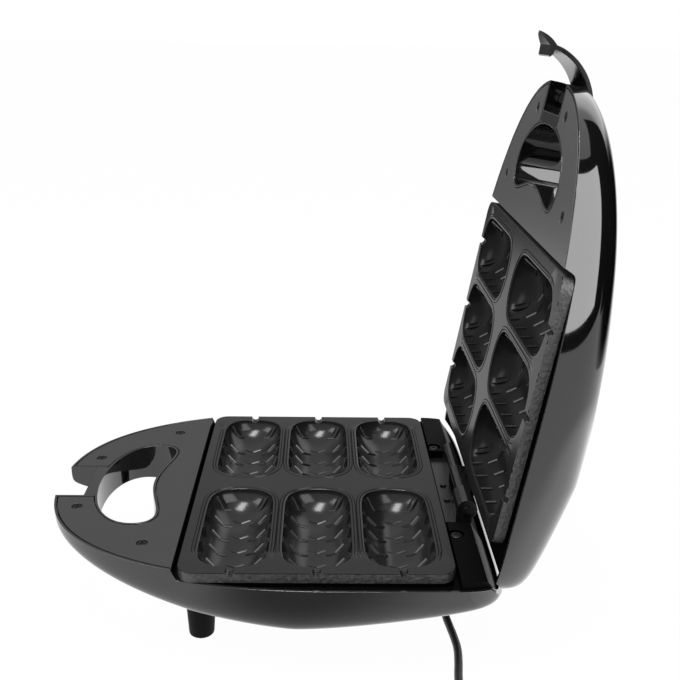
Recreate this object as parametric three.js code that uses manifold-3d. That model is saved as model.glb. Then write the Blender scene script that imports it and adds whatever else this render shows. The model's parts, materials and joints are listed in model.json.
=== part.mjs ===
// Corn dog maker: a countertop cooker whose lid stands open on its rear hinge.
// Millimetres, +Z up, +X from the handle to the hinge, +Y to the far long side.
// Both halves are drawn closed on each other, with x and y from the middle of the plates and z from the
// parting plane.
// The lid is then swung open about the hinge, and the whole stands on z = 0.

import * as THREE from "three";
import { mergeVertices } from "three/addons/utils/BufferGeometryUtils.js";
import Module from "manifold-3d";

const wasm = await Module();
wasm.setup();

// Clearances
const GAP = 0.3;
const OVERRUN = 2;
const PARTING_GAP = 0.3;

// Housing outline, seen from above
const NOSE_REACH = 164;
const HALF_WIDTH = 116;
const SIDE_MARGIN = 8.55;
const CORNER_ROOM = 0.86;
const REAR_MARGIN = 29.4;
const NOSE_POWER = 2.4;
const REAR_POWER = 11;

// Housing depth, seen from the side
const WALL = 2.5;
const REAR_SPAN = 160;
const EDGE_POWER = 24;
const BASE_DEPTH = 43;
const BASE_DEEPEST_AT = -12.8;
const BASE_NOSE_HEIGHT = 10.7;
const BASE_FRONT_POWER = 1.21;
const BASE_REAR_POWER = 1.5;
const BASE_NOSE_SECTION = 3.2;
const BASE_BODY_SECTION = 6;
const LID_DEPTH = 50.1;
const LID_DEEPEST_AT = 36;
const LID_NOSE_HEIGHT = 9.9;
const LID_FRONT_POWER = 1.59;
const LID_REAR_POWER = 1.18;
const LID_NOSE_SECTION = 4;
const LID_BODY_SECTION = 3.6;
const SECTION_BLEND = 100;

// Housing rim beside the plates
const RIM_STEP_LENGTH = 5;
const RIM_STEP_SHARES = [
  [0, 0],
  [0.2, 0.4],
  [0.5, 0.85],
  [1, 1],
];
const RIM_REAR_PAST = 17.9;
const RIM_REAR_DROP = 19;

// Cooking plates
const PLATE_LENGTH = 151.2;
const PLATE_CORNER = 9;
const PLATE_SKIRT = 6.2;
const PLATE_WALL = 2.4;
const CUP_COLUMNS = [-1, 0, 1];
const CUP_BRIDGE = 7;
const CUP_SIDE_MARGIN = 8.6;
const CUP_END_MARGIN = 6.45;
const CUP_DEPTH = 17;
const CUP_ROW_GAP = 18.4;
const CUP_END_POWER = 8;
const CUP_END_ROOT = 1.9;
const CUP_KEEL_POWER = 3;
const CUP_KEEL_ROOT = 2.2;
const STICK_WIDTH = 4.8;

// Handle
const COVER_EDGE_GAP = 3.1;
const COVER_THICK = 2.5;
const COVER_INSET = 1.9;
const NOTCH_HALF_WIDTH = 19.5;
const NOTCH_LIP = 2.2;
const NOTCH_DEPTH = 19;
const NOTCH_BAR = 6.6;
const HOLE_LAND_SHARE = 0.3025;
const HOLE_CORNER_LAND_SHARE = 0.2145;
const HOLE_WIDTH_SHARE = 0.4655;
const HOLE_CORNER_OUT_SHARE = 0.3707;
const HOLE_NOSE_SHARE = 0.75;
const HOLE_SIDE_SHARE = 0.15;
const HOLE_TURN_SHARE = 0.08;
const HOLE_CORNER_SHARE = 1.15;
const HOLE_BEND_SHARE = 0.72;
const HOLE_PLATE_SHARE = 0.42;
const HOLE_LIP = 1.5;
const CATCH_DEPTH = 16.8;

// Screws
const NOSE_SCREW_SETBACK = 18.5;
const NOSE_SCREW_OUT = 34;
const SIDE_SCREW_SHARE = 0.2356;
const SIDE_SCREW_OUT_SHARE = 0.6586;
const SCREW_HEAD = 5.9;
const SCREW_HEAD_THICK = 1.1;
const SCREW_SHANK = 2.6;
const SCREW_SLOT = 0.8;
const SLOT_REACH_SHARE = 0.32;
const SLOT_FLOOR_SHARE = 0.45;
const COUNTERBORE_DEPTH = 1.6;
const COVER_SCREW_LENGTH = 9;
const BOSS_DIAMETER = 7.6;

// Inner frame around a plate
const FRAME_DROP = 9;
const FRAME_THICK = 2.3;
const FRAME_LAND = 4.6;
const FRAME_REAR_PAST = 15.9;
const FRAME_END_PAST = 25.9;
const FRAME_REAR_DROP = 18.5;
const DECK_DROP = 2.5;
const DECK_NEAR = 47;
const DECK_FAR = 54;
const DECK_SCREW_PAST = 5.9;
const DECK_SCREW_OUT = 60.5;
const DECK_SCREW_HEAD = 6.6;
const DECK_SCREW_LENGTH = 13;
const DECK_RECESS = 9.4;
const DECK_RECESS_DEPTH = 2;
const LID_RECESS_DEPTH = 1;

// Heater under a plate
const HEATER_DIAMETER = 6.5;
const HEATER_DROP = 15;
const HEATER_END_MARGIN = 8.45;
const HEATER_BEND = 9;
const HEATER_RIB = 5;
const CLAMP_THICK = 1.2;
const CLAMP_WIDTH = 12;
const CLAMP_OVERHANG = 8;
const CLAMP_BOSS = 9;
const CLAMP_SCREW_HEAD = 6.5;
const CLAMP_SCREW_HEAD_THICK = 2;
const CLAMP_SCREW_LENGTH = 10;
const THERMOSTAT_DIAMETER = 16;
const THERMOSTAT_HEIGHT = 9;
const FUSE_DIAMETER = 4;
const FUSE_LENGTH = 12;
const FUSE_AT = 16.5;
const TERMINAL_LENGTH = 24;
const TERMINAL_WIDTH = 12;
const TERMINAL_FLOOR_GAP = 2.4;
const TERMINAL_PAST = 8.4;
const TERMINAL_OUT = 20;
const TERMINAL_BORE_SHARES = [0.25, 0.75];

// Hinge
const HINGE_PAST = 15.1;
const HINGE_RISE = 1;
const OPEN_DEGREES = 99.86;
const BARREL_DIAMETER = 7.5;
const PIN_DIAMETER = 2.7;
const PIN_HEAD = 5;
const PIN_HEAD_THICK = 1.2;
const LID_KNUCKLE_HALF = 17;
const BASE_KNUCKLE_END = 52;
const LUG_DIAMETER = 13;
const LUG_END = 38;
const LEAF_THICK = 1.5;
const LEAF_START_PAST = 2.4;
const LEAF_END_PAST = 11.4;
const LEAF_SCREW_OUT = 10.2;
const LEAF_SCREW_HEAD = 4.4;
const LEAF_SCREW_HEAD_THICK = 0.9;
const LEAF_SCREW_SHANK = 2;
const LEAF_SCREW_LENGTH = 1.6;

// Latch on the nose of the lid
const LATCH_PIVOT_SETBACK = 11;
const LATCH_PIVOT_RISE = 13;
const LATCH_BARREL = 11;
const LATCH_PIN = 3;
const LATCH_SIDE_GAP = 0.9;
const LATCH_ARC_SETBACK = 18.2;
const LATCH_ARC_DROP = 17.4;
const LATCH_ARC_RADIUS = 36.1;
const LATCH_THICK = 2.4;
const LATCH_ARC_START_DEGREES = 106;
const LATCH_ARC_END_DEGREES = 166.8;
const LATCH_HOOK_LENGTH = 4.2;
const LATCH_HOOK_THICK = 2.5;
const LATCH_HOOK_SHARES = [
  [0.85, 0.85],
  [1, 0.5],
  [0.6, 0.1],
  [0, 0],
];
const LATCH_TAB_OUT = 6.2;
const LATCH_TAB_DROP = 8.1;
const LATCH_TAB_OUT_SHARE = 0.61;
const LATCH_TAB_DROP_SHARE = 0.33;
const LATCH_TAB_THICK = 1.8;
const LATCH_TAB_TIP = 1.2;
const LATCH_SHOULDER = 3;
const LATCH_TONGUE_HALF = 16;
const LATCH_TONGUE_POWER = 0.55;

// Feet and floor
const FOOT_STAND = 22.5;
const FOOT_TOP = 19;
const FOOT_BOTTOM = 14.8;
const FOOT_EDGE = 1;
const FOOT_SINK = 1.5;
const FRONT_FOOT_SETBACK = 7.6;
const FRONT_FOOT_SHARE = 0.5776;
const REAR_FOOT_PAST = 14.4;
const REAR_FOOT_OUT = 34;

// Indicator lenses on the lid
const LENS_DIAMETER = 9;
const LENS_PROUD = 1.2;
const LENS_STEM = 6;
const LENS_STEM_LENGTH = 5;
const LENS_SETBACK = 13.6;
const LENS_OUT = 13;

// Cord, plug and strain relief
const CORD_DIAMETER = 4.8;
const CORD_SIDES = 8;
const CORD_STEPS = 44;
const RELIEF_PAST = 1.9;
const RELIEF_OUT = 8;
const RELIEF_LENGTH = 24;
const RELIEF_SLOPE_DEGREES = 36.9;
const RELIEF_ROOT = 11;
const RELIEF_TIP = 7;
const RELIEF_NECK = 8.4;
const RELIEF_NECK_LENGTH = 9;
const COIL_TURNS = 3.25;
const COIL_TURNS_IN = 1.5;
const COIL_INNER = 22.4;
const COIL_CLIMB_TURNS = 0.25;
const COIL_SPACE = 0.6;
const COIL_SIDES = 6;
const COIL_STEPS_PER_TURN = 24;
const PLUG_LENGTH = 36;
const PLUG_WIDTH = 27;
const PLUG_HEIGHT = 15;
const PLUG_RELIEF_LENGTH = 14;
const PLUG_SHARES = [
  [0, 0, 0.27, 0.49],
  [0.7, 0, 0.27, 0.49],
  [1, 0, 0.4, 0.7],
  [1, 0.15, 0.62, 0.92],
  [1, 0.4, 0.86, 1],
  [1, 0.75, 1, 1],
  [1, 1, 1, 1],
];
const PLUG_SECTION_POWER = 0.8;
const PLUG_PIN = 4.8;
const PLUG_PIN_LENGTH = 19;
const PLUG_PIN_SPACING = 19;
const TAIL_LENGTH = 52;
const TAIL_SAG = 2.6;
const TAIL_SHARES = [0, 0.12, 0.3, 0.5, 0.7, 0.88, 1];
const TAIL_STEPS = 10;

// Counts of flat sides and stations on curved pieces
const ROUND_SIDES = 12;
const SMALL_SIDES = 8;
const CURVE_STEPS = 5;
const ARC_STEPS = 8;
const LONG_STATIONS = 18;
const SECTION_STEPS = 12;
const STATION_END_SHARE = 0.15;
const CUP_STATIONS = 6;
const CUP_STEPS = 6;
const HEATER_STEPS = 26;
const TONGUE_STEPS = 5;
const FOOT_EDGE_STEPS = 2;
const MERGE_DISTANCE = 1e-4;

// Values that follow
const NOSE_X = -NOSE_REACH;
const PARTING = -PARTING_GAP;
const PLATE_FRONT = -PLATE_LENGTH / 2;
const PLATE_REAR = PLATE_LENGTH / 2;
const PLATE_WIDTH = 2 * (HALF_WIDTH - SIDE_MARGIN);
const REAR_REACH = PLATE_REAR + REAR_MARGIN;
const COVER_EDGE = PLATE_FRONT - COVER_EDGE_GAP;
const HANDLE_LENGTH = COVER_EDGE + NOSE_REACH;
const COVER_BOTTOM = PARTING - COVER_THICK;
const RIM_DROP = PLATE_SKIRT + GAP;
const CUP_BRIDGES = CUP_BRIDGE * (CUP_COLUMNS.length - 1);
const CUP_WIDTH = (PLATE_LENGTH - 2 * CUP_SIDE_MARGIN - CUP_BRIDGES) / CUP_COLUMNS.length;
const CUP_PITCH = CUP_WIDTH + CUP_BRIDGE;
const CUP_LENGTH = (PLATE_WIDTH - CUP_ROW_GAP) / 2 - CUP_END_MARGIN;
const CUP_ROW_AT = (CUP_ROW_GAP + CUP_LENGTH) / 2;
const PLATE_TOP_BOTTOM = PARTING - PLATE_WALL;
const HEATER_X = CUP_PITCH / 2;
const HEATER_REACH = PLATE_WIDTH / 2 - HEATER_END_MARGIN;
const HEATER_BOTTOM = -HEATER_DROP - HEATER_DIAMETER / 2;
const CLAMP_TOP = HEATER_BOTTOM - GAP;
const CLAMP_BOTTOM = CLAMP_TOP - CLAMP_THICK;
const FAR_BELOW = -(BASE_DEPTH + LID_DEPTH);
const FRAME_BOTTOM = -FRAME_DROP - FRAME_THICK;
const COIL_PITCH = CORD_DIAMETER + COIL_SPACE;
const COVER_SLOT_HALF = NOTCH_HALF_WIDTH + NOTCH_LIP;
const FLOOR = -(BASE_DEPTH + FOOT_STAND);

// Places on the handle
const NOTCH_BACK = NOSE_REACH - NOTCH_DEPTH;
const NOSE_SCREW_AT = NOSE_REACH - NOSE_SCREW_SETBACK;
const LATCH_PIVOT_AT = NOSE_REACH - LATCH_PIVOT_SETBACK;
const LATCH_ARC_AT = NOSE_REACH - LATCH_ARC_SETBACK;
const HOLE_NOSE_SIDE = NOTCH_BACK - NOTCH_BAR;
const HOLE_PLATE_SIDE = HANDLE_LENGTH * HOLE_LAND_SHARE - COVER_EDGE;
const HOLE_CORNER_SIDE = HANDLE_LENGTH * HOLE_CORNER_LAND_SHARE - COVER_EDGE;
const HOLE_HALF_WIDTH = HALF_WIDTH * HOLE_WIDTH_SHARE;
const HOLE_CORNER_AT = HALF_WIDTH * HOLE_CORNER_OUT_SHARE;
const SIDE_SCREW_AT = HANDLE_LENGTH * SIDE_SCREW_SHARE - COVER_EDGE;
const SIDE_SCREW_OUT = HALF_WIDTH * SIDE_SCREW_OUT_SHARE;

// Places behind the plates and beside them
const RIM_REAR_START = PLATE_REAR + RIM_REAR_PAST;
const FRAME_REAR_EDGE = PLATE_REAR + FRAME_REAR_PAST;
const FRAME_REAR_END = PLATE_REAR + FRAME_END_PAST;
const DECK_SCREW_AT = PLATE_REAR + DECK_SCREW_PAST;
const TERMINAL_AT = PLATE_REAR + TERMINAL_PAST;
const HINGE_AT = PLATE_REAR + HINGE_PAST;
const LEAF_START = PLATE_REAR + LEAF_START_PAST;
const LEAF_END = PLATE_REAR + LEAF_END_PAST;
const LEAF_SCREW_AT = (LEAF_START + LEAF_END) / 2;
const REAR_FOOT_AT = PLATE_REAR + REAR_FOOT_PAST;
const RELIEF_AT = PLATE_REAR + RELIEF_PAST;
const FRONT_FOOT_AT = -PLATE_FRONT - FRONT_FOOT_SETBACK;
const FRONT_FOOT_OUT = HALF_WIDTH * FRONT_FOOT_SHARE;
const LENS_AT = -PLATE_FRONT - LENS_SETBACK;

// The outline is widest where it still clears the plates' front corners
const CORNER_SHARE = (PLATE_WIDTH / 2 + CORNER_ROOM) / HALF_WIDTH;
const CORNER_RUN_SHARE = roundOff(CORNER_SHARE, NOSE_POWER);
const CORNER_AT = PLATE_FRONT + PLATE_CORNER;
const WIDEST_AT = (CORNER_RUN_SHARE * NOSE_REACH + CORNER_AT) / (1 - CORNER_RUN_SHARE);

const BASE_HALF = {
  depth: BASE_DEPTH,
  deepestAt: BASE_DEEPEST_AT,
  noseHeight: BASE_NOSE_HEIGHT,
  frontPower: BASE_FRONT_POWER,
  rearPower: BASE_REAR_POWER,
  noseSection: BASE_NOSE_SECTION,
  bodySection: BASE_BODY_SECTION,
  deckDrop: DECK_DROP,
  screwSeat: -(DECK_DROP + DECK_RECESS_DEPTH),
};
const LID_HALF = {
  depth: LID_DEPTH,
  deepestAt: LID_DEEPEST_AT,
  noseHeight: LID_NOSE_HEIGHT,
  frontPower: LID_FRONT_POWER,
  rearPower: LID_REAR_POWER,
  noseSection: LID_NOSE_SECTION,
  bodySection: LID_BODY_SECTION,
  deckDrop: FRAME_DROP,
  screwSeat: -(FRAME_DROP + LID_RECESS_DEPTH),
};

const FINISHES = {
  gloss: { color: 0x141415, roughness: 0.12, metalness: 0 },
  satin: { color: 0x4a4a4b, roughness: 0.5, metalness: 0 },
  matte: { color: 0x18181a, roughness: 0.6, metalness: 0 },
  coating: { color: 0x3c3c3d, roughness: 0.42, metalness: 0.2 },
  steel: { color: 0xb9babc, roughness: 0.3, metalness: 1 },
  darkSteel: { color: 0x55565a, roughness: 0.4, metalness: 1 },
  rubber: { color: 0x161617, roughness: 0.75, metalness: 0 },
  ceramic: { color: 0xd8d2c4, roughness: 0.6, metalness: 0 },
  redLens: { color: 0xa81c16, roughness: 0.2, metalness: 0 },
  greenLens: { color: 0x1f8a35, roughness: 0.2, metalness: 0 },
};

// Solids and their joins and cuts

function solid(geometry) {
  const bare = geometry.clone();
  bare.deleteAttribute("normal");
  bare.deleteAttribute("uv");
  const merged = mergeVertices(bare, MERGE_DISTANCE);
  return new wasm.Manifold(
    new wasm.Mesh({
      numProp: 3,
      vertProperties: new Float32Array(merged.attributes.position.array),
      triVerts: new Uint32Array(merged.index.array),
    }),
  );
}

function geometryOf(made) {
  const mesh = made.getMesh();
  const geometry = new THREE.BufferGeometry();
  geometry.setAttribute("position", new THREE.BufferAttribute(new Float32Array(mesh.vertProperties), 3));
  geometry.setIndex(new THREE.BufferAttribute(new Uint32Array(mesh.triVerts), 1));
  return geometry;
}

function joined(...solids) {
  return solids.reduce((all, next) => all.add(next));
}

function cut(body, ...tools) {
  return tools.reduce((left, tool) => left.subtract(tool), body);
}

// The same geometry mirrored in the parting plane, with its faces still pointing out
function upturned(geometry) {
  const turned = geometry.clone();
  turned.scale(1, 1, -1);
  const index = turned.index.array;
  for (let i = 0; i < index.length; i += 3) {
    const kept = index[i + 1];
    index[i + 1] = index[i + 2];
    index[i + 2] = kept;
  }
  return turned;
}

// Plain shapes

function box(x0, x1, y0, y1, z0, z1) {
  const geometry = new THREE.BoxGeometry(x1 - x0, y1 - y0, z1 - z0);
  geometry.translate((x0 + x1) / 2, (y0 + y1) / 2, (z0 + z1) / 2);
  return solid(geometry);
}

function post(x, y, z0, z1, diameter, sides = ROUND_SIDES) {
  const geometry = new THREE.CylinderGeometry(diameter / 2, diameter / 2, z1 - z0, sides);
  geometry.rotateX(Math.PI / 2);
  geometry.translate(x, y, (z0 + z1) / 2);
  return solid(geometry);
}

function rodAlongY(x, z, y0, y1, diameter, sides = ROUND_SIDES) {
  const geometry = new THREE.CylinderGeometry(diameter / 2, diameter / 2, y1 - y0, sides);
  geometry.translate(x, (y0 + y1) / 2, z);
  return solid(geometry);
}

function prism(shape, z0, z1, curveSegments = CURVE_STEPS) {
  const geometry = new THREE.ExtrudeGeometry(shape, { depth: z1 - z0, bevelEnabled: false, curveSegments });
  geometry.translate(0, 0, z0);
  return solid(geometry);
}

// A side profile drawn in x and z, extruded from y0 to y1
function slab(shape, y0, y1, curveSegments = CURVE_STEPS) {
  const geometry = new THREE.ExtrudeGeometry(shape, { depth: y1 - y0, bevelEnabled: false, curveSegments });
  geometry.rotateX(Math.PI / 2);
  geometry.translate(0, y1, 0);
  return solid(geometry);
}

function polygon(points) {
  return new THREE.Shape(points.map(([x, y]) => new THREE.Vector2(x, y)));
}

function roundedRectangle(length, width, corner) {
  const x = length / 2;
  const y = width / 2;
  const shape = new THREE.Shape();
  shape.moveTo(x - corner, -y);
  shape.absarc(x - corner, corner - y, corner, -Math.PI / 2, 0);
  shape.absarc(x - corner, y - corner, corner, 0, Math.PI / 2);
  shape.absarc(corner - x, y - corner, corner, Math.PI / 2, Math.PI);
  shape.absarc(corner - x, corner - y, corner, Math.PI, 1.5 * Math.PI);
  shape.closePath();
  return shape;
}

// A closed skin over rings of equally many points, with a flat cap on each end
function loft(rings) {
  const count = rings[0].length;
  const positions = rings.flat().flatMap((p) => [p.x, p.y, p.z]);
  const index = [];
  for (let r = 0; r + 1 < rings.length; r += 1) {
    for (let i = 0; i < count; i += 1) {
      const a = r * count + i;
      const b = r * count + ((i + 1) % count);
      index.push(a, b, a + count, b, b + count, a + count);
    }
  }
  const last = (rings.length - 1) * count;
  for (let i = 1; i + 1 < count; i += 1) {
    index.push(0, i + 1, i, last, last + i, last + i + 1);
  }
  const geometry = new THREE.BufferGeometry();
  geometry.setAttribute("position", new THREE.Float32BufferAttribute(positions, 3));
  geometry.setIndex(index);
  return geometry;
}

function signedPower(value, power) {
  return Math.sign(value) * Math.pow(Math.abs(value), power);
}

// Housing surfaces

function halfWidthAt(x, inset) {
  const front = x < WIDEST_AT;
  const reach = (front ? NOSE_REACH + WIDEST_AT : REAR_REACH - WIDEST_AT) - inset;
  const power = front ? NOSE_POWER : REAR_POWER;
  const share = Math.abs(x - WIDEST_AT) / reach;
  return (HALF_WIDTH - inset) * roundOff(share, power);
}

// How far a rounded profile still stands at a share of the way to its end
function roundOff(share, power) {
  return Math.pow(Math.max(0, 1 - Math.pow(share, power)), 1 / power);
}

function depthAt(x, half, inset) {
  const run = Math.abs(x - half.deepestAt);
  if (x < half.deepestAt) {
    const rise = roundOff(run / (half.deepestAt + NOSE_REACH), half.frontPower);
    return half.noseHeight + (half.depth - half.noseHeight) * rise - inset;
  }
  const edge = roundOff(run / (REAR_REACH - half.deepestAt), EDGE_POWER);
  return half.depth * roundOff(run / REAR_SPAN, half.rearPower) * edge - inset;
}

function sectionPowerAt(x, half) {
  const share = Math.min(1, (x + NOSE_REACH) / SECTION_BLEND);
  return half.noseSection + (half.bodySection - half.noseSection) * share;
}

// The housing's outer form below the parting plane, drawn in by inset and open up to top
function dish(half, inset, top) {
  const start = NOSE_X + inset;
  const end = REAR_REACH - inset;
  const rings = [];
  for (let s = 0; s <= LONG_STATIONS; s += 1) {
    const turn = (Math.PI * (s + STATION_END_SHARE)) / (LONG_STATIONS + 2 * STATION_END_SHARE);
    const x = (start + end) / 2 - ((end - start) / 2) * Math.cos(turn);
    const width = halfWidthAt(x, inset);
    const depth = Math.max(GAP, depthAt(x, half, inset));
    const power = 2 / sectionPowerAt(x, half);
    const ring = [new THREE.Vector3(x, -width, top)];
    for (let i = 0; i <= SECTION_STEPS; i += 1) {
      const angle = (Math.PI * i) / SECTION_STEPS;
      const y = -width * signedPower(Math.cos(angle), power);
      const z = -depth * signedPower(Math.sin(angle), power);
      ring.push(new THREE.Vector3(x, y, z));
    }
    ring.push(new THREE.Vector3(x, width, top));
    rings.push(ring);
  }
  return solid(loft(rings));
}

// The outline of a half from one side of x = edge round the nose to the other
function noseOutline(edge, inset) {
  const points = [];
  const start = NOSE_X + inset;
  for (let i = 0; i <= LONG_STATIONS; i += 1) {
    const angle = (Math.PI * i) / LONG_STATIONS;
    const x = edge - (edge - start) * Math.sin(angle);
    const y = halfWidthAt(x, inset) * Math.sign(Math.cos(angle));
    points.push(i * 2 === LONG_STATIONS ? [start, 0] : [x, y]);
  }
  return polygon(points);
}

function holeOutline(grow) {
  const nose = -HOLE_NOSE_SIDE - grow;
  const plate = -HOLE_PLATE_SIDE + grow;
  const corner = -HOLE_CORNER_SIDE + grow;
  const wide = HOLE_HALF_WIDTH + grow;
  const middle = (nose + corner) / 2;
  const noseOut = HOLE_CORNER_AT * HOLE_NOSE_SHARE;
  const side = wide * HOLE_SIDE_SHARE;
  const turn = wide * HOLE_TURN_SHARE;
  const cornerOut = HOLE_CORNER_AT * HOLE_CORNER_SHARE;
  const bendOut = HOLE_CORNER_AT * HOLE_BEND_SHARE;
  const plateOut = HOLE_CORNER_AT * HOLE_PLATE_SHARE;
  const shape = new THREE.Shape();
  shape.moveTo(nose, 0);
  shape.bezierCurveTo(nose, noseOut, middle - side, wide, middle + side, wide);
  shape.bezierCurveTo(corner - turn, wide, corner, cornerOut, corner, HOLE_CORNER_AT);
  shape.bezierCurveTo(corner, bendOut, plate, plateOut, plate, 0);
  shape.bezierCurveTo(plate, -plateOut, corner, -bendOut, corner, -HOLE_CORNER_AT);
  shape.bezierCurveTo(corner, -cornerOut, corner - turn, -wide, middle + side, -wide);
  shape.bezierCurveTo(middle - side, -wide, nose, -noseOut, nose, 0);
  return shape;
}

// The room that the cooking plate takes, with its clearance
function plateRoom() {
  const length = PLATE_LENGTH + 2 * GAP;
  const width = PLATE_WIDTH + 2 * GAP;
  return prism(roundedRectangle(length, width, PLATE_CORNER + GAP), -PLATE_SKIRT - GAP, 2 * OVERRUN);
}

// Everything above the rim, which steps down beside the plate and falls away at the hinge
function aboveRim() {
  const step = RIM_STEP_SHARES.map(([along, down]) => [
    COVER_EDGE + RIM_STEP_LENGTH * along,
    PARTING - (RIM_DROP + PARTING) * down,
  ]);
  const end = REAR_REACH + OVERRUN;
  const high = 2 * OVERRUN;
  const profile = polygon([
    [NOSE_X - OVERRUN, PARTING],
    ...step,
    [RIM_REAR_START, -RIM_DROP],
    [REAR_REACH, -RIM_REAR_DROP],
    [end, -RIM_REAR_DROP],
    [end, high],
    [NOSE_X - OVERRUN, high],
  ]);
  return slab(profile, -HALF_WIDTH - OVERRUN, HALF_WIDTH + OVERRUN);
}

function coverScrewPlaces() {
  return [
    [-NOSE_SCREW_AT, -NOSE_SCREW_OUT],
    [-NOSE_SCREW_AT, NOSE_SCREW_OUT],
    [-SIDE_SCREW_AT, -SIDE_SCREW_OUT],
    [-SIDE_SCREW_AT, SIDE_SCREW_OUT],
  ];
}

function deckScrewPlaces() {
  return [
    [DECK_SCREW_AT, -DECK_SCREW_OUT],
    [DECK_SCREW_AT, DECK_SCREW_OUT],
  ];
}

// The room that the handle cover takes, with its clearance
function coverRecess() {
  const bottom = COVER_BOTTOM - GAP;
  const whole = prism(noseOutline(COVER_EDGE + OVERRUN, COVER_INSET - GAP), bottom, OVERRUN);
  const half = COVER_SLOT_HALF - GAP;
  const slot = box(NOSE_X - OVERRUN, -HOLE_NOSE_SIDE, -half, half, bottom - OVERRUN, 2 * OVERRUN);
  return cut(whole, prism(holeOutline(HOLE_LIP - GAP), bottom - OVERRUN, 2 * OVERRUN), slot);
}

function housing(half) {
  const bossTop = COVER_BOTTOM - GAP;
  const deckBossTop = FRAME_BOTTOM - GAP;
  const cheek = NOTCH_HALF_WIDTH + WALL;
  const hollow = cut(
    dish(half, WALL, OVERRUN),
    prism(holeOutline(WALL), FAR_BELOW, 2 * OVERRUN),
    box(NOSE_X - OVERRUN, -HOLE_NOSE_SIDE, -cheek, cheek, FAR_BELOW, 2 * OVERRUN),
    ...coverScrewPlaces().map(([x, y]) => post(x, y, FAR_BELOW, bossTop, BOSS_DIAMETER)),
    ...deckScrewPlaces().map(([x, y]) => post(x, y, FAR_BELOW, deckBossTop, BOSS_DIAMETER)),
  );
  let body = cut(
    dish(half, 0, OVERRUN),
    hollow,
    prism(holeOutline(0), FAR_BELOW, 2 * OVERRUN),
    box(NOSE_X - OVERRUN, -NOTCH_BACK, -NOTCH_HALF_WIDTH, NOTCH_HALF_WIDTH, FAR_BELOW, 2 * OVERRUN),
    coverRecess(),
    aboveRim(),
    plateRoom(),
  );
  const bore = SCREW_SHANK + 2 * GAP;
  for (const [x, y] of coverScrewPlaces()) {
    body = cut(body, post(x, y, bossTop - COVER_SCREW_LENGTH, bossTop + GAP, bore, SMALL_SIDES));
  }
  const deckBoreEnd = half.screwSeat - DECK_SCREW_LENGTH - GAP;
  for (const [x, y] of deckScrewPlaces()) {
    body = cut(body, post(x, y, deckBoreEnd, deckBossTop + GAP, bore, SMALL_SIDES));
  }
  return body;
}

function baseShell() {
  const relief = reliefFrame();
  const pocket = box(
    -NOTCH_BACK - OVERRUN,
    -HOLE_NOSE_SIDE + OVERRUN,
    -NOTCH_HALF_WIDTH,
    NOTCH_HALF_WIDTH,
    FAR_BELOW,
    -CATCH_DEPTH,
  );
  const neckHole = cone(relief, -RELIEF_NECK_LENGTH, RELIEF_LENGTH, RELIEF_NECK + 2 * GAP);
  return cut(housing(BASE_HALF), pocket, neckHole);
}

function lidShell() {
  const stem = LENS_STEM + 2 * GAP;
  const below = -LID_DEPTH - OVERRUN;
  const lenses = lensPlaces().map(([x, y]) => post(x, y, below, -LID_DEPTH / 2, stem, SMALL_SIDES));
  const pinHole = rodAlongY(
    -LATCH_PIVOT_AT,
    -LATCH_PIVOT_RISE,
    -NOTCH_HALF_WIDTH - WALL - OVERRUN,
    NOTCH_HALF_WIDTH + WALL + OVERRUN,
    LATCH_PIN + 2 * GAP,
    SMALL_SIDES,
  );
  return cut(housing(LID_HALF), ...lenses, pinHole);
}

function handleCover() {
  const plate = prism(noseOutline(COVER_EDGE, COVER_INSET), COVER_BOTTOM, PARTING);
  const slotHalf = COVER_SLOT_HALF;
  let cover = cut(
    plate,
    prism(holeOutline(HOLE_LIP), COVER_BOTTOM - OVERRUN, OVERRUN),
    box(NOSE_X - OVERRUN, -HOLE_NOSE_SIDE + OVERRUN, -slotHalf, slotHalf, COVER_BOTTOM - OVERRUN, OVERRUN),
  );
  for (const [x, y] of coverScrewPlaces()) {
    cover = cut(
      cover,
      post(x, y, PARTING - COUNTERBORE_DEPTH, OVERRUN, SCREW_HEAD + 2 * GAP),
      post(x, y, COVER_BOTTOM - OVERRUN, OVERRUN, SCREW_SHANK + 2 * GAP, SMALL_SIDES),
    );
  }
  return cover;
}

// A cross-headed screw whose head rests on z = seat and whose shank goes down
function screw(x, y, seat, head, headThick, shank, length) {
  const body = joined(
    post(x, y, seat + GAP, seat + GAP + headThick, head, SMALL_SIDES),
    post(x, y, seat - length, seat + GAP + headThick / 2, shank, SMALL_SIDES),
  );
  const reach = head * SLOT_REACH_SHARE;
  const halfSlot = SCREW_SLOT / 2;
  const slotFloor = seat + GAP + headThick * SLOT_FLOOR_SHARE;
  const slotTop = seat + headThick + OVERRUN;
  return cut(
    body,
    box(x - reach, x + reach, y - halfSlot, y + halfSlot, slotFloor, slotTop),
    box(x - halfSlot, x + halfSlot, y - reach, y + reach, slotFloor, slotTop),
  );
}

function coverScrew([x, y]) {
  const seat = PARTING - COUNTERBORE_DEPTH;
  return screw(x, y, seat, SCREW_HEAD, SCREW_HEAD_THICK, SCREW_SHANK, COVER_SCREW_LENGTH);
}

function deckScrew([x, y], half) {
  return screw(x, y, half.screwSeat, DECK_SCREW_HEAD, SCREW_HEAD_THICK, SCREW_SHANK, DECK_SCREW_LENGTH);
}

// Inner frame

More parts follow.
